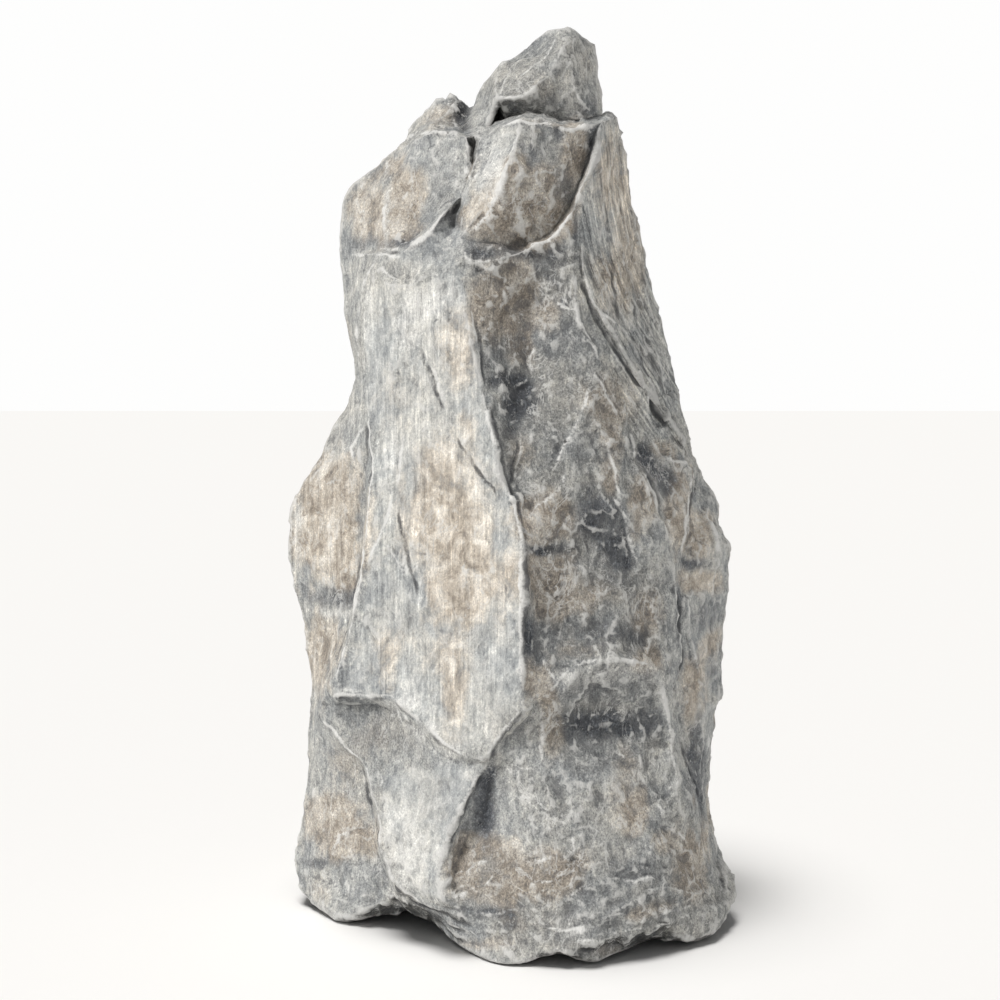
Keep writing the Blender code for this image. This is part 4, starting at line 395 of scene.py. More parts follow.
# Bands that run round the stone on the sides away from the viewer: kind, height, half height, strength.
BANDS = [
    ("tan", 1.27, 0.07, 0.75), ("dark", 1.165, 0.02, 0.7), ("tan", 1.06, 0.06, 0.6), ("blue", 0.96, 0.05, 0.6),
    ("dark", 0.93, 0.02, 0.6), ("tan", 0.86, 0.04, 0.4), ("tan", 0.72, 0.06, 0.85), ("dark", 0.655, 0.016, 0.7),
    ("tan", 0.62, 0.03, 0.7), ("blue", 0.545, 0.03, 0.6), ("dark", 0.53, 0.016, 0.5), ("tan", 0.48, 0.03, 0.6),
    ("dark", 0.375, 0.035, 0.8), ("tan", 0.31, 0.04, 0.4), ("blue", 0.28, 0.04, 0.4), ("tan", 0.20, 0.035, 0.8),
    ("dark", 0.145, 0.012, 0.6), ("tan", 0.115, 0.03, 0.6), ("dark", 0.06, 0.015, 0.5), ("blue", 0.03, 0.02, 0.5),
    ("pale", 1.36, 0.05, 0.4), ("pale", 0.98, 0.06, 0.4), ("pale", 0.42, 0.03, 0.5), ("blue", 1.42, 0.05, 0.5),
]


def packed_surface():
    """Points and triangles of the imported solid, with coincident points made one."""
    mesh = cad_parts["boulder"].data
    mesh.calc_loop_triangles()
    points = np.empty(len(mesh.vertices) * 3, np.float32)
    mesh.vertices.foreach_get("co", points)
    faces = np.empty(len(mesh.loop_triangles) * 3, np.int32)
    mesh.loop_triangles.foreach_get("vertices", faces)
    points = points.reshape(-1, 3).astype(np.float64)
    _, first, index = np.unique(np.round(points, 6), axis=0, return_index=True, return_inverse=True)
    return points[first], index.reshape(-1)[faces.reshape(-1, 3)].astype(np.int64)


def seen(points):
    """Where points lie in the photograph's frame, as an array of (across, down)."""
    off = points - STATION
    ahead = off[:, 1] * math.cos(DIP) - off[:, 2] * math.sin(DIP)
    up = off[:, 1] * math.sin(DIP) + off[:, 2] * math.cos(DIP)
    return np.stack([500 + PLANE * off[:, 0] / ahead, 500 - PLANE * up / ahead], axis=1)


def face_normals(points, faces):
    a, b, c = (points[faces[:, i]] for i in range(3))
    return np.cross(b - a, c - a)


def vertex_normals(points, faces):
    flat = face_normals(points, faces)
    total = np.zeros_like(points)
    for i in range(3):
        for axis in range(3):
            total[:, axis] += np.bincount(faces[:, i], flat[:, axis], len(points))
    return total / np.maximum(np.linalg.norm(total, axis=1, keepdims=True), 1e-12)


def half_edges(faces):
    return np.concatenate([faces[:, [0, 1]], faces[:, [1, 2]], faces[:, [2, 0]]])


def keys_of(pairs, base=1 << 22):
    low, high = pairs.min(axis=1), pairs.max(axis=1)
    return low * base + high


def crease_keys(points, faces):
    """The edges that fold sharply."""
    normals = face_normals(points, faces)
    normals /= np.maximum(np.linalg.norm(normals, axis=1, keepdims=True), 1e-12)
    keys = keys_of(half_edges(faces))
    owner = np.tile(np.arange(len(faces)), 3)
    order = np.argsort(keys, kind="stable")
    keys, owner = keys[order], owner[order]
    first, second = owner[0::2], owner[1::2]
    turn = np.einsum("ij,ij->i", normals[first], normals[second])
    return keys[0::2][turn < math.cos(CREASE)]


def split(points, faces, creases, limits):
    """Halves every edge longer than the mean of its ends' limits."""
    base = 1 << 22
    pairs = half_edges(faces)
    keys, index = np.unique(keys_of(pairs), return_inverse=True)
    low, high = keys // base, keys % base
    length = np.linalg.norm(points[low] - points[high], axis=1)
    middle = (points[low] + points[high]) / 2
    long = length > (limits[low] + limits[high]) / 2
    if not long.any():
        return points, faces, creases, 0
    new = np.full(len(keys), -1, np.int64)
    new[long] = len(points) + np.arange(long.sum())
    on_crease = np.isin(keys, creases)
    cut = long & on_crease
    creases = np.concatenate([
        keys[on_crease & ~long],
        keys_of(np.stack([low[cut], new[cut]], axis=1)),
        keys_of(np.stack([high[cut], new[cut]], axis=1)),
    ])
    points = np.concatenate([points, middle[long]])
    count = len(faces)
    cuts = new[index.reshape(-1)].reshape(3, count).T
    a, b, c = faces.T
    made = (cuts >= 0).sum(axis=1)
    # Turn each face so that its first edge is cut, and with two cuts the second too.
    turned = np.stack([a, b, c], axis=1)
    for _ in range(2):
        wrong = ((made == 1) & (cuts[:, 0] < 0)) | ((made == 2) & ((cuts[:, 0] < 0) | (cuts[:, 1] < 0)))
        turned[wrong] = np.roll(turned[wrong], -1, axis=1)
        cuts[wrong] = np.roll(cuts[wrong], -1, axis=1)
    a, b, c = turned.T
    p, q, r = cuts.T
    out = [turned[made == 0]]
    m = made == 1
    out += [np.stack([a[m], p[m], c[m]], 1), np.stack([p[m], b[m], c[m]], 1)]
    m = made == 2
    out.append(np.stack([p[m], b[m], q[m]], 1))
    near = np.linalg.norm(points[a] - points[q], axis=1) < np.linalg.norm(points[c] - points[p], axis=1)
    for choice, one, two in ((near, (a, p, q), (a, q, c)), (~near, (a, p, c), (p, q, c))):
        k = m & choice
        out += [np.stack([x[k] for x in one], 1), np.stack([x[k] for x in two], 1)]
    m = made == 3
    out += [np.stack([x[m] for x in t], 1) for t in ((a, p, r), (p, b, q), (r, q, c), (p, q, r))]
    return points, np.concatenate(out), creases, int(long.sum())


def ring_mean(values, faces, count):
    """The mean of each point's neighbours."""
    pairs = np.unique(np.sort(half_edges(faces), axis=1), axis=0)
    a, b = pairs.T
    degree = np.bincount(a, minlength=count) + np.bincount(b, minlength=count)
    out = np.empty_like(values)
    for axis in range(values.shape[1]):
        out[:, axis] = np.bincount(a, values[b, axis], count) + np.bincount(b, values[a, axis], count)
    return out / degree[:, None]


def ease(points, faces, creases, rounds, step):
    """Softens the surface between creases; a crease eases only along itself."""
    base = 1 << 22
    count = len(points)
    low, high = creases // base, creases % base
    ends = np.bincount(low, minlength=count) + np.bincount(high, minlength=count)
    grounded = points[:, 2] < 0.0006
    for _ in range(rounds):
        mean = ring_mean(points, faces, count)
        along = np.zeros_like(points)
        for axis in range(3):
            along[:, axis] = np.bincount(low, points[high, axis], count) + np.bincount(high, points[low, axis], count)
        free = ends == 0
        line = ends == 2
        moved = points.copy()
        moved[free] += step * (mean[free] - points[free])
        moved[line] += 0.25 * step * (along[line] / 2 - points[line])
        moved[grounded, 2] = points[grounded, 2]
        points = moved
    return points


def line_distance(places, line):
    """Distance in pixels from each place to a polyline, and how far along it the nearest point is, 0 to 1."""
    knots = np.array(line, float)
    runs = np.linalg.norm(knots[1:] - knots[:-1], axis=1)
    starts = np.concatenate([[0], np.cumsum(runs)])
    best = np.full(len(places), 1e9)
    along = np.zeros(len(places))
    for i, (a, b) in enumerate(zip(knots, knots[1:])):
        t = np.clip(((places - a) @ (b - a)) / runs[i] ** 2, 0, 1)
        gap = np.linalg.norm(places - (a + t[:, None] * (b - a)), axis=1)
        nearer = gap < best
        best[nearer] = gap[nearer]
        along[nearer] = (starts[i] + t[nearer] * runs[i]) / starts[-1]
    return best, along


def near_lines(places, lines, reach):
    """Which places lie within reach of any of the lines."""
    near = np.zeros(len(places), bool)
    for line in lines:
        knots = np.array(line, float)
        low, high = knots.min(axis=0) - reach, knots.max(axis=0) + reach
        inside = np.where(((places > low) & (places < high)).all(axis=1) & ~near)[0]
        if len(inside):
            gap, _ = line_distance(places[inside], line)
            near[inside[gap < reach]] = True
    return near


def side_distance(places, line):
    """Distance to a line in the picture, how far along it, and 1 on the right hand of somebody walking it, as on a map, -1 on the left."""
    knots = np.array(line, float)
    steps = np.diff(knots, axis=0)
    lengths = np.linalg.norm(steps, axis=1)
    starts = np.concatenate([[0.0], np.cumsum(lengths)])
    best = np.full(len(places), np.inf)
    along = np.zeros(len(places))
    side = np.ones(len(places))
    for i, (start, step, length) in enumerate(zip(knots[:-1], steps, lengths)):
        off = places - start
        part = np.clip(off @ step / length ** 2, 0, 1)
        rest = off - part[:, None] * step
        gap = np.hypot(rest[:, 0], rest[:, 1])
        closer = gap < best
        best[closer] = gap[closer]
        along[closer] = (starts[i] + part[closer] * length) / starts[-1]
        # The picture's second coordinate runs down, so a walker's right turns with it.
        turn = step[0] * off[:, 1] - step[1] * off[:, 0]
        side[closer] = np.where(turn[closer] > 0, 1.0, -1.0)
    return best, along, side


def shading(points, normals, front):
    """How much lighter or darker the stone is in each broad area, partly its own tone and partly painted light and
    shade, and painted shade underneath.
    """
    places = seen(points)
    wobble = layered(points, (24, 24, 20), 45, 3)
    tone = np.ones(len(points))
    for gain, soft, outline in AREAS:
        ring = np.array(outline + outline[:1], float)
        low, high = ring.min(axis=0) - 2 * soft, ring.max(axis=0) + 2 * soft
        some = np.where(((places > low) & (places < high)).all(axis=1) & (front > 0))[0]
        spots = places[some]
        gap, _, _ = side_distance(spots, ring)
        within = np.zeros(len(some), bool)
        for (ax, ay), (bx, by) in zip(ring[:-1], ring[1:]):
            crossing = (ay > spots[:, 1]) != (by > spots[:, 1])
            reach = ax + (spots[:, 1] - ay) * (bx - ax) / (by - ay if by != ay else 1.0)
            within ^= crossing & (spots[:, 0] < reach)
        depth = np.where(within, gap, -gap) + 0.5 * soft * wobble[some]
        tone[some] *= gain ** (swell(0.5 + depth / soft) * front[some])
    # Painted shade on the faces that turn down near the ground, to darken the gap under the rim.
    return tone * (1.0 - 0.8 * swell((-0.25 - normals[:, 2]) / 0.4) * swell((0.10 - points[:, 2]) / 0.05))


def facing(points, normals):
    """How squarely each point faces the viewer, -1 to 1."""
    to_eye = STATION - points
    to_eye /= np.linalg.norm(to_eye, axis=1, keepdims=True)
    return np.einsum("ij,ij->i", normals, to_eye)


def fine_skin():
    points, faces = packed_surface()
    creases = crease_keys(points, faces)
    base = 1 << 22
    for size, rounds in ((0.022, 1), (0.014, 2)):
        while True:
            limits = np.full(len(points), size)
            points, faces, creases, count = split(points, faces, creases, limits)
            if not count:
                break
        points = ease(points, faces, creases, rounds, 0.5)
    groove_lines = [line for *_, line in GROOVES + EDGES]
    for _ in range(6):
        normals = vertex_normals(points, faces)
        front = facing(points, normals) > -0.05
        limits = np.where(front, FRONT_EDGE, BACK_EDGE)
        places = seen(points)
        near = np.where(front)[0]
        near = near[near_lines(places[near], groove_lines, 5.0)]
        limits[near] = CRACK_EDGE
        limits[front & on_slab(places)] = 1.1 * CRACK_EDGE
        on_crease = np.zeros(len(points), bool)
        on_crease[creases // base] = on_crease[creases % base] = True
        limits[on_crease] = np.where(front[on_crease], CRACK_EDGE, 0.75 * BACK_EDGE)
        points, faces, creases, count = split(points, faces, creases, limits)
        if not count:
            break
    points = ease(points, faces, creases, 1, 0.4)
    return points, faces


def swell(t):
    t = np.clip(t, 0, 1)
    return t * t * (3 - 2 * t)


def noise_at(points, scale, seed):
    """Smooth noise, about -1 to 1."""
    spots = points * np.array(scale) + np.array((seed * 3.17, seed * 7.31, seed * 1.93))
    return np.array([noise.noise(spot) for spot in spots.tolist()])


def layered(points, scale, seed, octaves=4, fade=0.5):
    total, weight = np.zeros(len(points)), 1.0
    for i in range(octaves):
        total += weight * noise_at(points, np.array(scale) * 2.0 ** i, seed + i)
        weight *= fade
    return total


def facets(points, scale, seed):
    """Chips with flat, slightly hollow faces that meet in sharp ridges, about -1 to 1."""
    spots = points * np.array(scale) + np.array((seed * 3.17, seed * 7.31, seed * 1.93))
    near = np.array([noise.voronoi(spot)[1] for spot in spots.tolist()])
    centres, which = np.unique(np.round(near.reshape(-1, 3), 3), axis=0, return_inverse=True)
    tilts = np.array([noise.noise_vector(Vector(c) * 5.13) for c in centres.tolist()]) * 1.5
    lifts = np.array([noise.noise(Vector(c) * 3.7) for c in centres.tolist()]) * 0.5
    which = which.reshape(len(points), -1)
    off = spots[:, None, :] - centres[which]
    value = np.einsum("nij,nij->ni", off, tilts[which]) + lifts[which] + 0.8 * np.einsum("nij,nij->ni", off, off)
    value = value.min(axis=1)
    return np.clip((value - value.mean()) / (2.2 * value.std()), -1.3, 1.3)


def ridged(points, scale, seed):
    return 1.0 - 2.0 * np.abs(noise_at(points, scale, seed))


def on_slab(places):
    """The slab at the right, as the viewer sees it."""
    arris = np.interp(places[:, 1], [100, 120, 210, 290, 350, 430, 475], [606, 604, 572, 576, 599, 621, 641])
    return (places[:, 0] > arris) & (places[:, 1] > 110) & (places[:, 1] < 465)


def slab_share(places, front):
    """How far each point belongs to the slab at the right, 0 to 1."""
    across, down = places.T
    arris = np.interp(down, [100, 120, 210, 290, 350, 430, 475], [606, 604, 572, 576, 599, 621, 641])
    return front * swell((across - arris) / 10) * swell((465 - down) / 25) * swell((down - 105) / 20)


def slab_bend(down):
    """How far the slab's streaks have swung outwards at each level."""
    return np.interp(down, [100, 200, 260, 300, 350, 400, 450, 480], [0, 8, 20, 36, 66, 98, 132, 150])


def slab_streaks(places):
    """Streaks that run down the right-hand slab and bend outwards with it, -1 to 1."""
    bend = slab_bend(places[:, 1])
    run = np.stack([(places[:, 0] - bend) * 0.16, places[:, 1] * 0.012, np.zeros(len(places))], axis=1)
    fine = run * np.array((2.3, 1.6, 1.0))
    return 0.6 * ridged(run, (1, 1, 1), 31) + 0.4 * ridged(fine, (1, 1, 1), 32)


def chipped(points, faces):
    """Moves every point in or out along its normal, and returns the painted shade of cracks and step feet and the
    pale lips too.
    """
    normals = vertex_normals(points, faces)
    front = swell((facing(points, normals) + 0.05) / 0.3)
    places = seen(points)
    across, down = places.T
    height = points[:, 2]
    # Where the slab at the right and the bedded foot lie.
    slab = slab_share(places, front)
    foot = swell((0.20 - height) / 0.14)
    left = swell((-normals[:, 0] + 0.05) / 0.5)

    drift = 0.011 * np.stack([noise_at(points, (21, 21, 21), seed) for seed in (61, 62, 63)], axis=1)
    bent = points + drift
    plain = 1 - 0.55 * left
    move = 0.0056 * (1 - 0.5 * left) * facets(bent, (13, 13, 9), 1)
    move += 0.0038 * plain * facets(bent, (30, 30, 20), 2)
    move += 0.0019 * plain * facets(bent, (66, 66, 46), 12)
    move += 0.0014 * layered(points, (20, 20, 15), 3, 4)
    grain = ridged(bent, (80, 80, 13), 5) * 0.6 + ridged(bent, (150, 150, 26), 6) * 0.4
    move += (0.0004 + 0.0003 * left) * (1 - slab) * (1 - foot) * grain
    move += 0.0024 * slab * slab_streaks(places)
    # Crumpled breaks, sharp along their crests, strongest low down on the right.
    crumpled = (0.0011 + 0.0014 * (1.0 - left) + 0.0014 * foot) * (1.0 - slab)
    move += crumpled * ridged(bent, (27, 27, 38), 71)
    beds = points + 0.03 * np.stack([noise_at(points, (8, 8, 8), 8)] * 3, axis=1)
    patchy = 0.4 + 0.6 * swell(noise_at(points, (12, 12, 16), 10) + 0.5)
    move += 0.0036 * foot * patchy * ridged(beds, (8, 8, 55), 9)
    rough = swell((0.25 - left) / 0.3) * (1 - slab)
    move += 0.0004 * rough * layered(points, (110, 110, 80), 11, 2)

    # Painted shade in the slab's streak troughs, and pale paint on their crests, partly pale stone and partly painted
    # highlight.
    streak = slab * slab_streaks(places + 1.0)
    crack_shade = 0.8 * swell((-streak - 0.05) / 0.5)
    lip = 0.35 * swell((streak - 0.62) / 0.3)
    for width, depth, rise, line in GROOVES:
        knots = np.array(line)
        low, high = knots.min(axis=0) - 4 * width, knots.max(axis=0) + 4 * width
        inside = np.where(((places > low) & (places < high)).all(axis=1) & (front > 0.3))[0]
        if not len(inside):
            continue
        gap, along = line_distance(places[inside], line)
        spots = points[inside]
        gap = np.abs(gap + 1.5 * noise_at(spots, (26, 26, 26), 21) + 0.8 * noise_at(spots, (90, 90, 90), 22))
        taper = np.clip(np.sin(np.pi * np.clip(along, 0.02, 0.98)), 0, 1) ** 0.6
        taper = taper * np.clip(0.75 + 0.8 * noise_at(spots, (45, 45, 45), 23), 0.15, 1)
        pit = np.exp(-(gap / width) ** 2) * taper
        rim = np.exp(-((gap - 2.0 * width) / width) ** 2) * taper
        move[inside] += front[inside] * 0.001 * (0.15 * rise * rim - 0.68 * depth * pit)
        # Painted shade down the groove, and pale paint on its rims, partly pale stone and partly painted highlight.
        crack_shade[inside] = np.maximum(crack_shade[inside], np.exp(-(gap / (0.6 * width)) ** 2) * taper * min(0.9, depth / 5.0))
        lip[inside] = np.maximum(lip[inside], 0.6 * rim * min(1.0, rise / 1.6))
    for step, reach, pale_edge_and_highlight, foot_shade, line in EDGES:
        knots = np.array(line)
        low, high = knots.min(axis=0) - 3 * reach, knots.max(axis=0) + 3 * reach
        inside = np.where(((places > low) & (places < high)).all(axis=1) & (front > 0.15))[0]
        gap, along, side = side_distance(places[inside], line)
        spots = points[inside]
        across_line = side * gap * np.sign(step) + 1.3 * noise_at(spots, (22, 22, 22), 24) + 0.8 * noise_at(spots, (70, 70, 70), 25)
        beyond = np.hypot(gap, 0) < 3 * reach
        taper = np.clip(np.sin(np.pi * np.clip(along, 0.01, 0.99)) * 2.2, 0, 1) ** 0.7 * beyond
        vary = np.clip(0.85 + 0.8 * noise_at(spots, (30, 30, 30), 26), 0.3, 1.2)
        rise = swell((across_line + 2.4) / 4.8) * np.exp(-np.maximum(across_line, 0) / reach)
        foot_pit = np.exp(-((across_line + 3.0) / 3.2) ** 2)
        move[inside] += 0.001 * abs(step) * front[inside] * taper * vary * (rise - 0.35 * foot_pit)
        # Pale paint along the step's raised edge, partly pale wear and partly a painted highlight, and painted shade
        # at its foot.
        thin = np.exp(-((across_line - 0.6) / 1.7) ** 2) * taper * np.clip(vary * 1.1, 0, 1)
        lip[inside] = np.maximum(lip[inside], pale_edge_and_highlight * thin)
        thin = np.exp(-((across_line + 2.6) / 2.3) ** 2) * taper * np.clip(vary * 1.1, 0, 1)
        crack_shade[inside] = np.maximum(crack_shade[inside], foot_shade * thin)
    # What stands on the ground stays on it.
    move *= swell((height - 0.0005) / 0.02)
    points = points + normals * move[:, None]
    points[:, 2] = np.maximum(points[:, 2], np.where(height < 0.0006, 0.0, 0.0015))
    # Between the feet the rim hangs clear of the ground.
    for left_end, right_end, back, rise in ((-0.265, -0.085, -0.015, 0.007), (0.13, 0.315, -0.08, 0.006), (0.03, 0.09, -0.17, 0.004)):
        window = swell((points[:, 0] - left_end) / 0.045) * swell((right_end - points[:, 0]) / 0.045)
        window = window * swell((back - points[:, 1]) / 0.05) * swell((0.07 - points[:, 2]) / 0.06)
        points[:, 2] += rise * window
    return points, crack_shade, lip, front


def relief(points, faces, rounds):
    """How far each point stands proud of its surroundings, in metres."""
    eased = points
    for _ in range(rounds):
        eased = 0.5 * eased + 0.5 * ring_mean(eased, faces, len(points))
    return np.einsum("ij,ij->i", points - eased, vertex_normals(eased, faces))


def patches(points, normals, front):
    """Tan, dark, blue and pale shares: placed on the side towards the viewer, scattered elsewhere."""
    places = seen(points)
    wobble = np.stack([layered(points, (26, 26, 18), 41, 3), layered(points, (26, 26, 18), 42, 3)], axis=1)
    out = {}
    for kind in ("tan", "dark", "blue", "pale"):
        share = np.zeros(len(points))
        for what, across, down, wide, tall, strength in PATCHES:
            if what != kind:
                continue
            off = (places - np.array((across, down)))
            inside = np.where((np.abs(off) < 2.6 * np.array((wide, tall)) + 6).all(axis=1))[0]
            r = np.linalg.norm(off[inside] / (1.12 * np.array((wide, tall))) + 0.55 * wobble[inside], axis=1)
            share[inside] = 1 - (1 - share[inside]) * (1 - strength * swell((1.95 - r) / 1.8))
        out[kind] = share
    level = points[:, 2] + 0.05 * layered(points, (4, 4, 4), 55, 2) + 0.02 * noise_at(points, (15, 15, 15), 56)
    bands = {kind: np.zeros(len(points)) for kind in ("tan", "dark", "blue", "pale")}
    for kind, height, half, strength in BANDS:
        bands[kind] += strength * swell(1.5 - np.abs(level - height) / half)
    far = {
        "tan": bands["tan"] * swell((layered(points, (8, 8, 11), 51, 3) + 0.30) / 0.5),
        "dark": bands["dark"] * swell((layered(points, (9, 9, 16), 52, 3) + 0.15) / 0.5),
        "blue": bands["blue"] * swell((layered(points, (7, 7, 12), 53, 3) + 0.30) / 0.5),
        "pale": bands["pale"] * swell((layered(points, (14, 14, 6), 54, 3) + 0.10) / 0.5),
    }
    far = {kind: np.clip(share, 0, 1) for kind, share in far.items()}
    shares = np.stack([front * out[k] + (1 - front) * far[k] for k in ("tan", "dark", "blue", "pale")], axis=1)
    return shares, shading(points, normals, front)


def build_stone():
    points, faces = fine_skin()
    points, crack_shade, lip, front = chipped(points, faces)
    # The painted shade in cracks and the pale lips fade where the surface turns away from the viewer, so that they
    # don't smear down the sides.
    turned = facing(points, vertex_normals(points, faces))
    crack_shade = crack_shade * swell((turned - 0.06) / 0.32)
    lip = lip * swell((turned + 0.02) / 0.30)
    near, wide = relief(points, faces, 3), relief(points, faces, 14)
    # Relief, painted shade in cracks and at step feet, and pale lips, partly painted highlight, for the material's
    # painted edge light and shade.
    edge_light_and_shade = np.stack([
        np.clip(0.5 + near / 0.0025, 0, 1),
        np.clip(0.5 + wide / 0.0110, 0, 1),
        np.clip(crack_shade, 0, 1),
        np.clip(lip, 0, 1),
    ], axis=1)
    mesh = bpy.data.meshes.new("stone_skin")
    mesh.vertices.add(len(points))
    mesh.vertices.foreach_set("co", points.astype(np.float32).ravel())
    mesh.loops.add(len(faces) * 3)
    mesh.loops.foreach_set("vertex_index", faces.astype(np.int32).ravel())
    mesh.polygons.add(len(faces))
    mesh.polygons.foreach_set("loop_start", np.arange(0, len(faces) * 3, 3, dtype=np.int32))
    mesh.update(calc_edges=True)
    mesh.validate()
    mesh.polygons.foreach_set("use_smooth", np.ones(len(mesh.polygons), bool))
    shares, tone = patches(points, vertex_normals(points, faces), front)
    places = seen(points)
    slab = slab_share(places, front)
    across, down = places.T
    split_face = front * swell((520 - across) / 20) * swell((760 - down) / 60) * swell((down - 265) / 20)
    streaked = np.maximum(slab, 0.42 * split_face)
    tone = np.stack([tone, tone, tone, streaked], axis=1)
    # Across and along the streaks.
    flow = np.stack([across - slab * slab_bend(down), down, np.zeros(len(down)), np.ones(len(down))], axis=1)
    for name, values in (("patch", shares), ("edge_light_and_shade", edge_light_and_shade), ("tone", tone), ("flow", flow)):
        layer = mesh.color_attributes.new(name, "FLOAT_COLOR", "POINT")
        layer.data.foreach_set("color", values.astype(np.float32).ravel())
    stone = bpy.data.objects.new("stone", mesh)
    bpy.context.scene.collection.objects.link(stone)
    return stone


# ---------------------------------------------------------------------------
# The stone's material
# ---------------------------------------------------------------------------
class Graph:
    def __init__(self, name):
        self.material = bpy.data.materials.new(name)
        self.material.use_nodes = True
        self.tree = self.material.node_tree
        self.shader = self.tree.nodes["Principled BSDF"]
        self.place = self.add("ShaderNodeTexCoord").outputs["Object"]

    def add(self, kind, **settings):
        node = self.tree.nodes.new(kind)
        for key, value in settings.items():
            setattr(node, key, value)
        return node

    def join(self, socket, value):
        if isinstance(value, bpy.types.NodeSocket):
            self.tree.links.new(value, socket)
        else:
            socket.default_value = value

    def noise(self, scale, stretch=(1, 1, 1), detail=4.0, rough=0.55, twist=0.0, turn=(0, 0, 0), start=(0, 0, 0)):
        mapping = self.add("ShaderNodeMapping")
        self.join(mapping.inputs["Vector"], self.place)
        mapping.inputs["Scale"].default_value = stretch
        mapping.inputs["Rotation"].default_value = turn
        mapping.inputs["Location"].default_value = start
        node = self.add("ShaderNodeTexNoise")
        self.join(node.inputs["Vector"], mapping.outputs[0])
        node.inputs["Scale"].default_value = scale
        node.inputs["Detail"].default_value = detail
        node.inputs["Roughness"].default_value = rough
        node.inputs["Distortion"].default_value = twist
        return node.outputs["Fac"]

    def streaks(self, stretch, detail=3.0, rough=0.6):
        """Noise drawn out along the streaks of the split faces."""
        flow = self.add("ShaderNodeAttribute", attribute_name="flow")
        mapping = self.add("ShaderNodeMapping")
        self.join(mapping.inputs["Vector"], flow.outputs["Vector"])
        mapping.inputs["Scale"].default_value = stretch
        node = self.add("ShaderNodeTexNoise")
        self.join(node.inputs["Vector"], mapping.outputs[0])
        node.inputs["Scale"].default_value = 1.0
        node.inputs["Detail"].default_value = detail
        node.inputs["Roughness"].default_value = rough
        node.inputs["Distortion"].default_value = 0.25
        return node.outputs["Fac"]

    def math(self, what, *values):
        node = self.add("ShaderNodeMath", operation=what)
        for socket, value in zip(node.inputs, values):
            self.join(socket, value)
        return node.outputs[0]

    def between(self, value, low, high):
        node = self.add("ShaderNodeMapRange", interpolation_type="SMOOTHSTEP")
        self.join(node.inputs["Value"], value)
        node.inputs["From Min"].default_value = low
        node.inputs["From Max"].default_value = high
        return node.outputs["Result"]

    def mix(self, share, a, b, how="MIX"):
        node = self.add("ShaderNodeMix", data_type="RGBA", blend_type=how)
        self.join(node.inputs[0], share)
        self.join(node.inputs[6], a)
        self.join(node.inputs[7], b)
        return node.outputs[2]

    def ramp(self, value, *stops):
        node = self.add("ShaderNodeValToRGB")
        self.join(node.inputs["Fac"], value)
        ramp = node.color_ramp
        while len(ramp.elements) < len(stops):
            ramp.elements.new(0.5)
        for element, (place, colour) in zip(ramp.elements, stops):
            element.position = place
            element.color = (*colour, 1.0)
        return node.outputs["Color"]


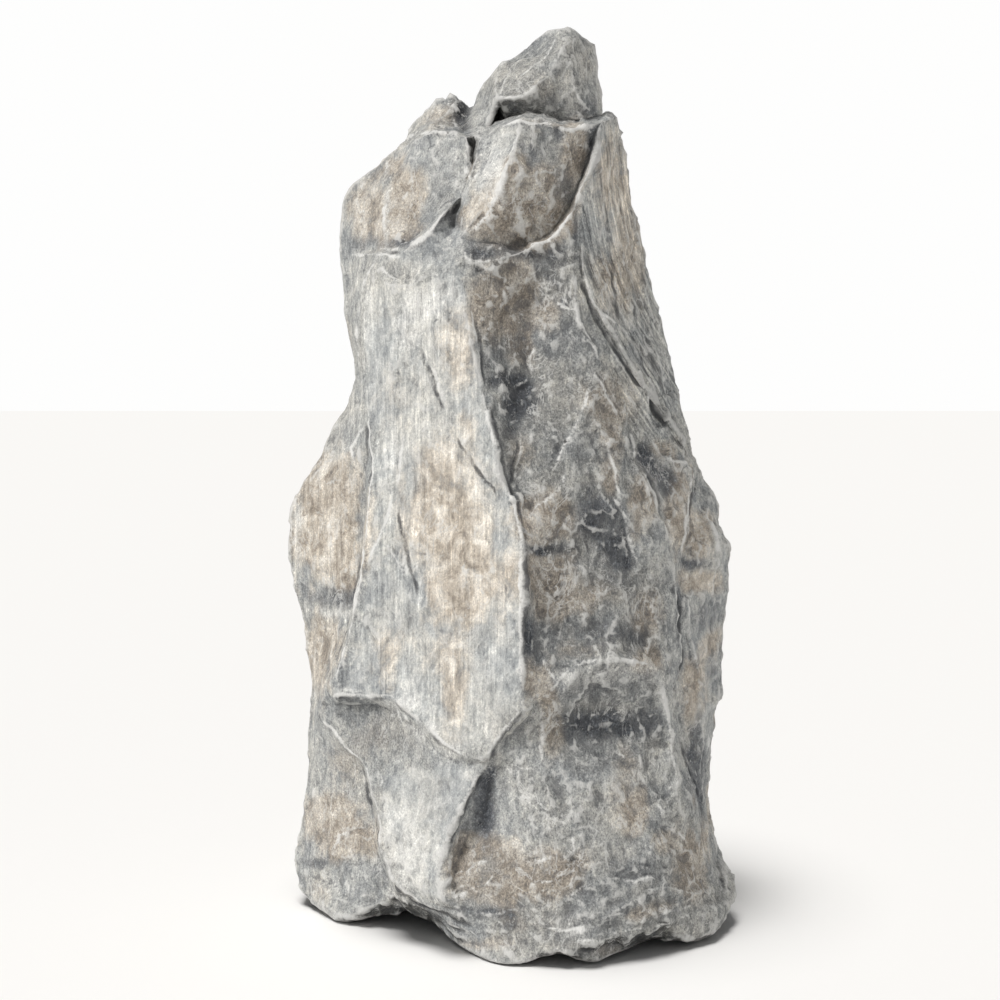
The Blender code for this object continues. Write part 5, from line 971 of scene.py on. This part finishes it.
def stone_material():
    g = Graph("banded_stone")
    patch = g.add("ShaderNodeAttribute", attribute_name="patch")
    edge_light_and_shade = g.add("ShaderNodeAttribute", attribute_name="edge_light_and_shade")
    split_patch = g.add("ShaderNodeSeparateColor")
    g.join(split_patch.inputs[0], patch.outputs["Color"])
    split_edge_light = g.add("ShaderNodeSeparateColor")
    g.join(split_edge_light.inputs[0], edge_light_and_shade.outputs["Color"])
    tan, dark, blue = (split_patch.outputs[i] for i in range(3))
    pale = patch.outputs["Alpha"]
    proud, ridge, crack_shade = (split_edge_light.outputs[i] for i in range(3))
    lip = edge_light_and_shade.outputs["Alpha"]

    broad = g.noise(9.0, (1, 1, 1.2), 4.0, 0.6, 0.4)
    cloudy = g.noise(30.0, (1, 1, 0.85), 5.0, 0.66, 0.5, start=(3, 1, 2))
    fibre = g.noise(62.0, (1.4, 1.4, 0.60), 5.0, 0.66, 0.4, start=(1, 5, 2))
    thread = g.noise(150.0, (1.8, 1.8, 0.45), 3.0, 0.65, start=(7, 5, 2))
    stipple = g.noise(150.0, (1, 1, 0.8), 5.0, 0.80, start=(4, 4, 9))
    crystal = g.noise(380.0, (1, 1, 0.8), 2.0, 0.7, start=(9, 2, 5))
    vein = g.noise(15.0, (1, 1, 0.6), 5.0, 0.62, 0.9, start=(2, 8, 1))

    def grainy(value, cloud, fine, shift=0.0):
        """The value roughened by the clouds and the stipple, both of which lie near one half."""
        cloud_part = g.math("MULTIPLY_ADD", cloudy, cloud, -0.5 * cloud + shift)
        fine_part = g.math("MULTIPLY_ADD", stipple, fine, -0.5 * fine)
        return g.math("ADD", g.math("ADD", value, cloud_part), fine_part)

    grey = g.ramp(fibre, (0.28, (0.215, 0.222, 0.226)), (0.44, (0.320, 0.326, 0.324)), (0.56, (0.420, 0.421, 0.410)), (0.72, (0.560, 0.556, 0.536)))
    tint = g.ramp(broad, (0.32, (0.77, 0.79, 0.81)), (0.46, (0.95, 0.96, 0.96)), (0.55, (1.04, 1.03, 1.00)), (0.68, (1.16, 1.13, 1.08)))
    colour = g.mix(1.0, grey, tint, "MULTIPLY")
    blue_stone = g.ramp(cloudy, (0.30, (0.138, 0.149, 0.158)), (0.50, (0.246, 0.256, 0.262)), (0.70, (0.378, 0.388, 0.390)))
    colour = g.mix(g.between(grainy(blue, 0.95, 0.6), 0.06, 0.86), colour, blue_stone)
    tan_stone = g.ramp(cloudy, (0.30, (0.234, 0.200, 0.163)), (0.45, (0.362, 0.320, 0.269)), (0.58, (0.470, 0.434, 0.385)), (0.72, (0.596, 0.568, 0.524)))
    colour = g.mix(g.between(grainy(tan, 0.95, 0.6), 0.03, 0.62), colour, tan_stone)
    # Pale patches, partly pale stone and partly painted highlight.
    colour = g.mix(g.between(grainy(pale, 1.5, 0.8), 0.15, 0.95), colour, (0.560, 0.558, 0.540, 1))
    # Dark patches, partly dark stone and partly painted shade.
    dark_stone_and_shade = g.ramp(stipple, (0.34, (0.034, 0.038, 0.046)), (0.52, (0.085, 0.092, 0.104)), (0.70, (0.235, 0.248, 0.265)))
    colour = g.mix(g.between(grainy(dark, 1.5, 0.9), 0.16, 0.95), colour, dark_stone_and_shade)
    # Broad areas lighter and darker, partly the stone's own tone and partly painted light and shade, with painted
    # shade underneath.
    tone = g.add("ShaderNodeAttribute", attribute_name="tone")
    colour = g.mix(1.0, colour, tone.outputs["Color"], "MULTIPLY")
    # Speckle of light and dark grains all over.
    speck = g.math("ADD", g.math("MULTIPLY", stipple, 0.45), g.math("MULTIPLY", crystal, 0.55))
    shade = g.ramp(speck, (0.35, (0.40, 0.40, 0.42)), (0.46, (0.84, 0.84, 0.85)), (0.54, (1.12, 1.12, 1.11)), (0.64, (1.80, 1.79, 1.75)))
    clouds = g.ramp(cloudy, (0.32, (0.56, 0.57, 0.60)), (0.45, (0.88, 0.885, 0.90)), (0.55, (1.10, 1.095, 1.08)), (0.68, (1.42, 1.40, 1.35)))
    colour = g.mix(0.40, colour, clouds, "MULTIPLY")
    # The lighter the broad tone, painted light included, the fainter its speckle.
    speckled = g.between(tone.outputs["Fac"], 1.45, 0.85)
    colour = g.mix(g.math("MULTIPLY_ADD", speckled, 0.55, 0.42), colour, shade, "MULTIPLY")
    # Hairline streaks on the slab and the split face.
    streak = g.streaks((0.30, 0.016, 1.0), 4.0, 0.68)
    lines = g.ramp(streak, (0.32, (0.22, 0.23, 0.25)), (0.43, (0.80, 0.805, 0.81)), (0.54, (1.12, 1.12, 1.11)), (0.66, (2.0, 1.99, 1.94)))
    colour = g.mix(g.math("MULTIPLY", tone.outputs["Alpha"], 0.90), colour, lines, "MULTIPLY")
    # Pale veins, thin and broken.
    line = g.between(g.math("ABSOLUTE", g.math("SUBTRACT", vein, 0.5)), 0.016, 0.003)
    broken = g.between(broad, 0.47, 0.56)
    colour = g.mix(g.math("MULTIPLY", g.math("MULTIPLY", line, broken), 0.55), colour, (0.640, 0.635, 0.615, 1))
    hair = g.noise(38.0, (1, 1, 0.7), 4.0, 0.6, 1.2, start=(6, 3, 8))
    line = g.between(g.math("ABSOLUTE", g.math("SUBTRACT", hair, 0.5)), 0.012, 0.002)
    colour = g.mix(g.math("MULTIPLY", g.math("MULTIPLY", line, g.between(cloudy, 0.46, 0.56)), 0.50), colour, (0.600, 0.596, 0.580, 1))
    # Pale on proud edges and wide ridges, partly pale wear and partly painted highlight.
    edge = g.between(grainy(proud, 0.5, 0.4), 0.62, 0.95)
    colour = g.mix(g.math("MULTIPLY", edge, 0.60), colour, (0.650, 0.645, 0.625, 1))
    edge = g.between(grainy(ridge, 0.4, 0.3), 0.66, 1.0)
    colour = g.mix(g.math("MULTIPLY", edge, 0.50), colour, (0.620, 0.616, 0.600, 1))
    # Pale lips along steps, groove rims and slab streaks, partly pale stone and partly painted highlight.
    colour = g.mix(g.math("MULTIPLY", g.between(grainy(lip, 1.0, 1.0), 0.22, 0.70), 0.85), colour, (0.740, 0.735, 0.715, 1))
    # Painted shade in the hollows.
    hollow = g.between(grainy(proud, 0.30, 0.30), 0.36, 0.08)
    colour = g.mix(g.math("MULTIPLY", hollow, 0.45), colour, (0.085, 0.088, 0.096, 1))
    # Painted shade in the cracks, at the feet of steps and in the slab's streak troughs.
    colour = g.mix(g.math("MULTIPLY", g.between(grainy(crack_shade, 0.8, 1.0), 0.28, 0.85), 0.82), colour, (0.050, 0.052, 0.057, 1))
    g.join(g.shader.inputs["Base Color"], colour)

    rough = g.add("ShaderNodeMapRange")
    g.join(rough.inputs["Value"], stipple)
    rough.inputs["To Min"].default_value = 0.70
    rough.inputs["To Max"].default_value = 0.94
    g.join(g.shader.inputs["Roughness"], rough.outputs["Result"])
    g.shader.inputs["Specular IOR Level"].default_value = 0.35
    height = g.math("ADD", g.math("MULTIPLY", stipple, 0.55), g.math("MULTIPLY", thread, 0.45))
    height = g.math("ADD", height, g.math("MULTIPLY", fibre, 0.8))
    height = g.math("ADD", height, g.math("MULTIPLY", crystal, 0.25))
    height = g.math("ADD", height, g.math("MULTIPLY", cloudy, 0.8))
    height = g.math("ADD", height, g.math("MULTIPLY", g.math("MULTIPLY", streak, tone.outputs["Alpha"]), 0.9))
    bump = g.add("ShaderNodeBump")
    bump.inputs["Strength"].default_value = 0.7
    bump.inputs["Distance"].default_value = 0.008
    g.join(bump.inputs["Height"], height)
    g.join(g.shader.inputs["Normal"], bump.outputs["Normal"])
    return g.material


# ---------------------------------------------------------------------------
# The studio
# ---------------------------------------------------------------------------
def plain_floor():
    mesh = bpy.data.meshes.new("studio_floor")
    mesh.from_pydata([(-60, -20, 0), (60, -20, 0), (60, 120, 0), (-60, 120, 0)], [], [(0, 1, 2, 3)])
    floor = bpy.data.objects.new("studio_floor", mesh)
    bpy.context.scene.collection.objects.link(floor)
    material = bpy.data.materials.new("pale_floor")
    material.use_nodes = True
    shader = material.node_tree.nodes["Principled BSDF"]
    shader.inputs["Base Color"].default_value = (0.90, 0.895, 0.885, 1)
    shader.inputs["Roughness"].default_value = 0.9
    shader.inputs["Specular IOR Level"].default_value = 0.0
    mesh.materials.append(material)
    return floor


def soft_light():
    world = bpy.data.worlds.new("studio")
    bpy.context.scene.world = world
    world.use_nodes = True
    tree = world.node_tree
    tree.nodes.clear()
    out = tree.nodes.new("ShaderNodeOutputWorld")
    path = tree.nodes.new("ShaderNodeLightPath")
    glow = tree.nodes.new("ShaderNodeBackground")
    glow.inputs["Color"].default_value = (0.97, 0.985, 1.0, 1)
    glow.inputs["Strength"].default_value = AMBIENT
    white = tree.nodes.new("ShaderNodeBackground")
    white.inputs["Color"].default_value = (1.0, 1.0, 0.995, 1)
    white.inputs["Strength"].default_value = 0.99
    mix = tree.nodes.new("ShaderNodeMixShader")
    tree.links.new(path.outputs["Is Camera Ray"], mix.inputs[0])
    tree.links.new(glow.outputs[0], mix.inputs[1])
    tree.links.new(white.outputs[0], mix.inputs[2])
    tree.links.new(mix.outputs[0], out.inputs[0])
    for name, power, angle, towards, lit, shading in LAMPS:
        lamp = bpy.data.lights.new(name, "SUN")
        lamp.energy = power
        lamp.angle = math.radians(angle)
        lamp.color = (1.0, 0.985, 0.965)
        thing = bpy.data.objects.new(name, lamp)
        thing.rotation_euler = Vector(towards).to_track_quat("-Z", "Y").to_euler()
        bpy.context.scene.collection.objects.link(thing)
        for what, role in ((lit, "receiver_collection"), (shading, "blocker_collection")):
            if what is None:
                continue
            group = bpy.data.collections.new(name + "_" + role)
            group.objects.link(bpy.data.objects[what])
            setattr(thing.light_linking, role, group)


AMBIENT = 0.16
LAMPS = [
    # name, strength, angular size in degrees, the way its light travels, what it lights, what casts its shadow
    ("key_light", 3.0, 18, (0.72, 0.42, -0.66), "stone", None),
    ("side_light", 0.60, 18, (-0.80, 0.34, -0.62), "stone", None),
    ("top_glow", 0.58, 165, (0.1, 0.15, -1.0), "stone", None),
    ("front_glow", 0.36, 120, (0.1, 1.0, -0.25), "stone", None),
    ("back_glow", 0.30, 120, (-0.2, -1.0, -0.25), "stone", None),
    ("floor_light", 2.88, 26, (0.14, 0.05, -1.0), "studio_floor", None),
]


def camera():
    lens = bpy.data.cameras.new("camera")
    lens.sensor_width = 36.0
    lens.lens = 36.0 * PLANE / 1000.0
    lens.clip_end = 300.0
    eye = bpy.data.objects.new("camera", lens)
    eye.location = STATION
    eye.rotation_euler = (math.pi / 2 - DIP, 0.0, 0.0)
    bpy.context.scene.collection.objects.link(eye)
    bpy.context.scene.camera = eye


def main():
    scene = bpy.context.scene
    scene.view_settings.view_transform = "Standard"
    scene.view_settings.look = "None"
    stone = build_stone()
    stone.data.materials.append(stone_material())
    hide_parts("boulder")
    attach(stone, "root")
    plain_floor()
    soft_light()
    camera()


main()
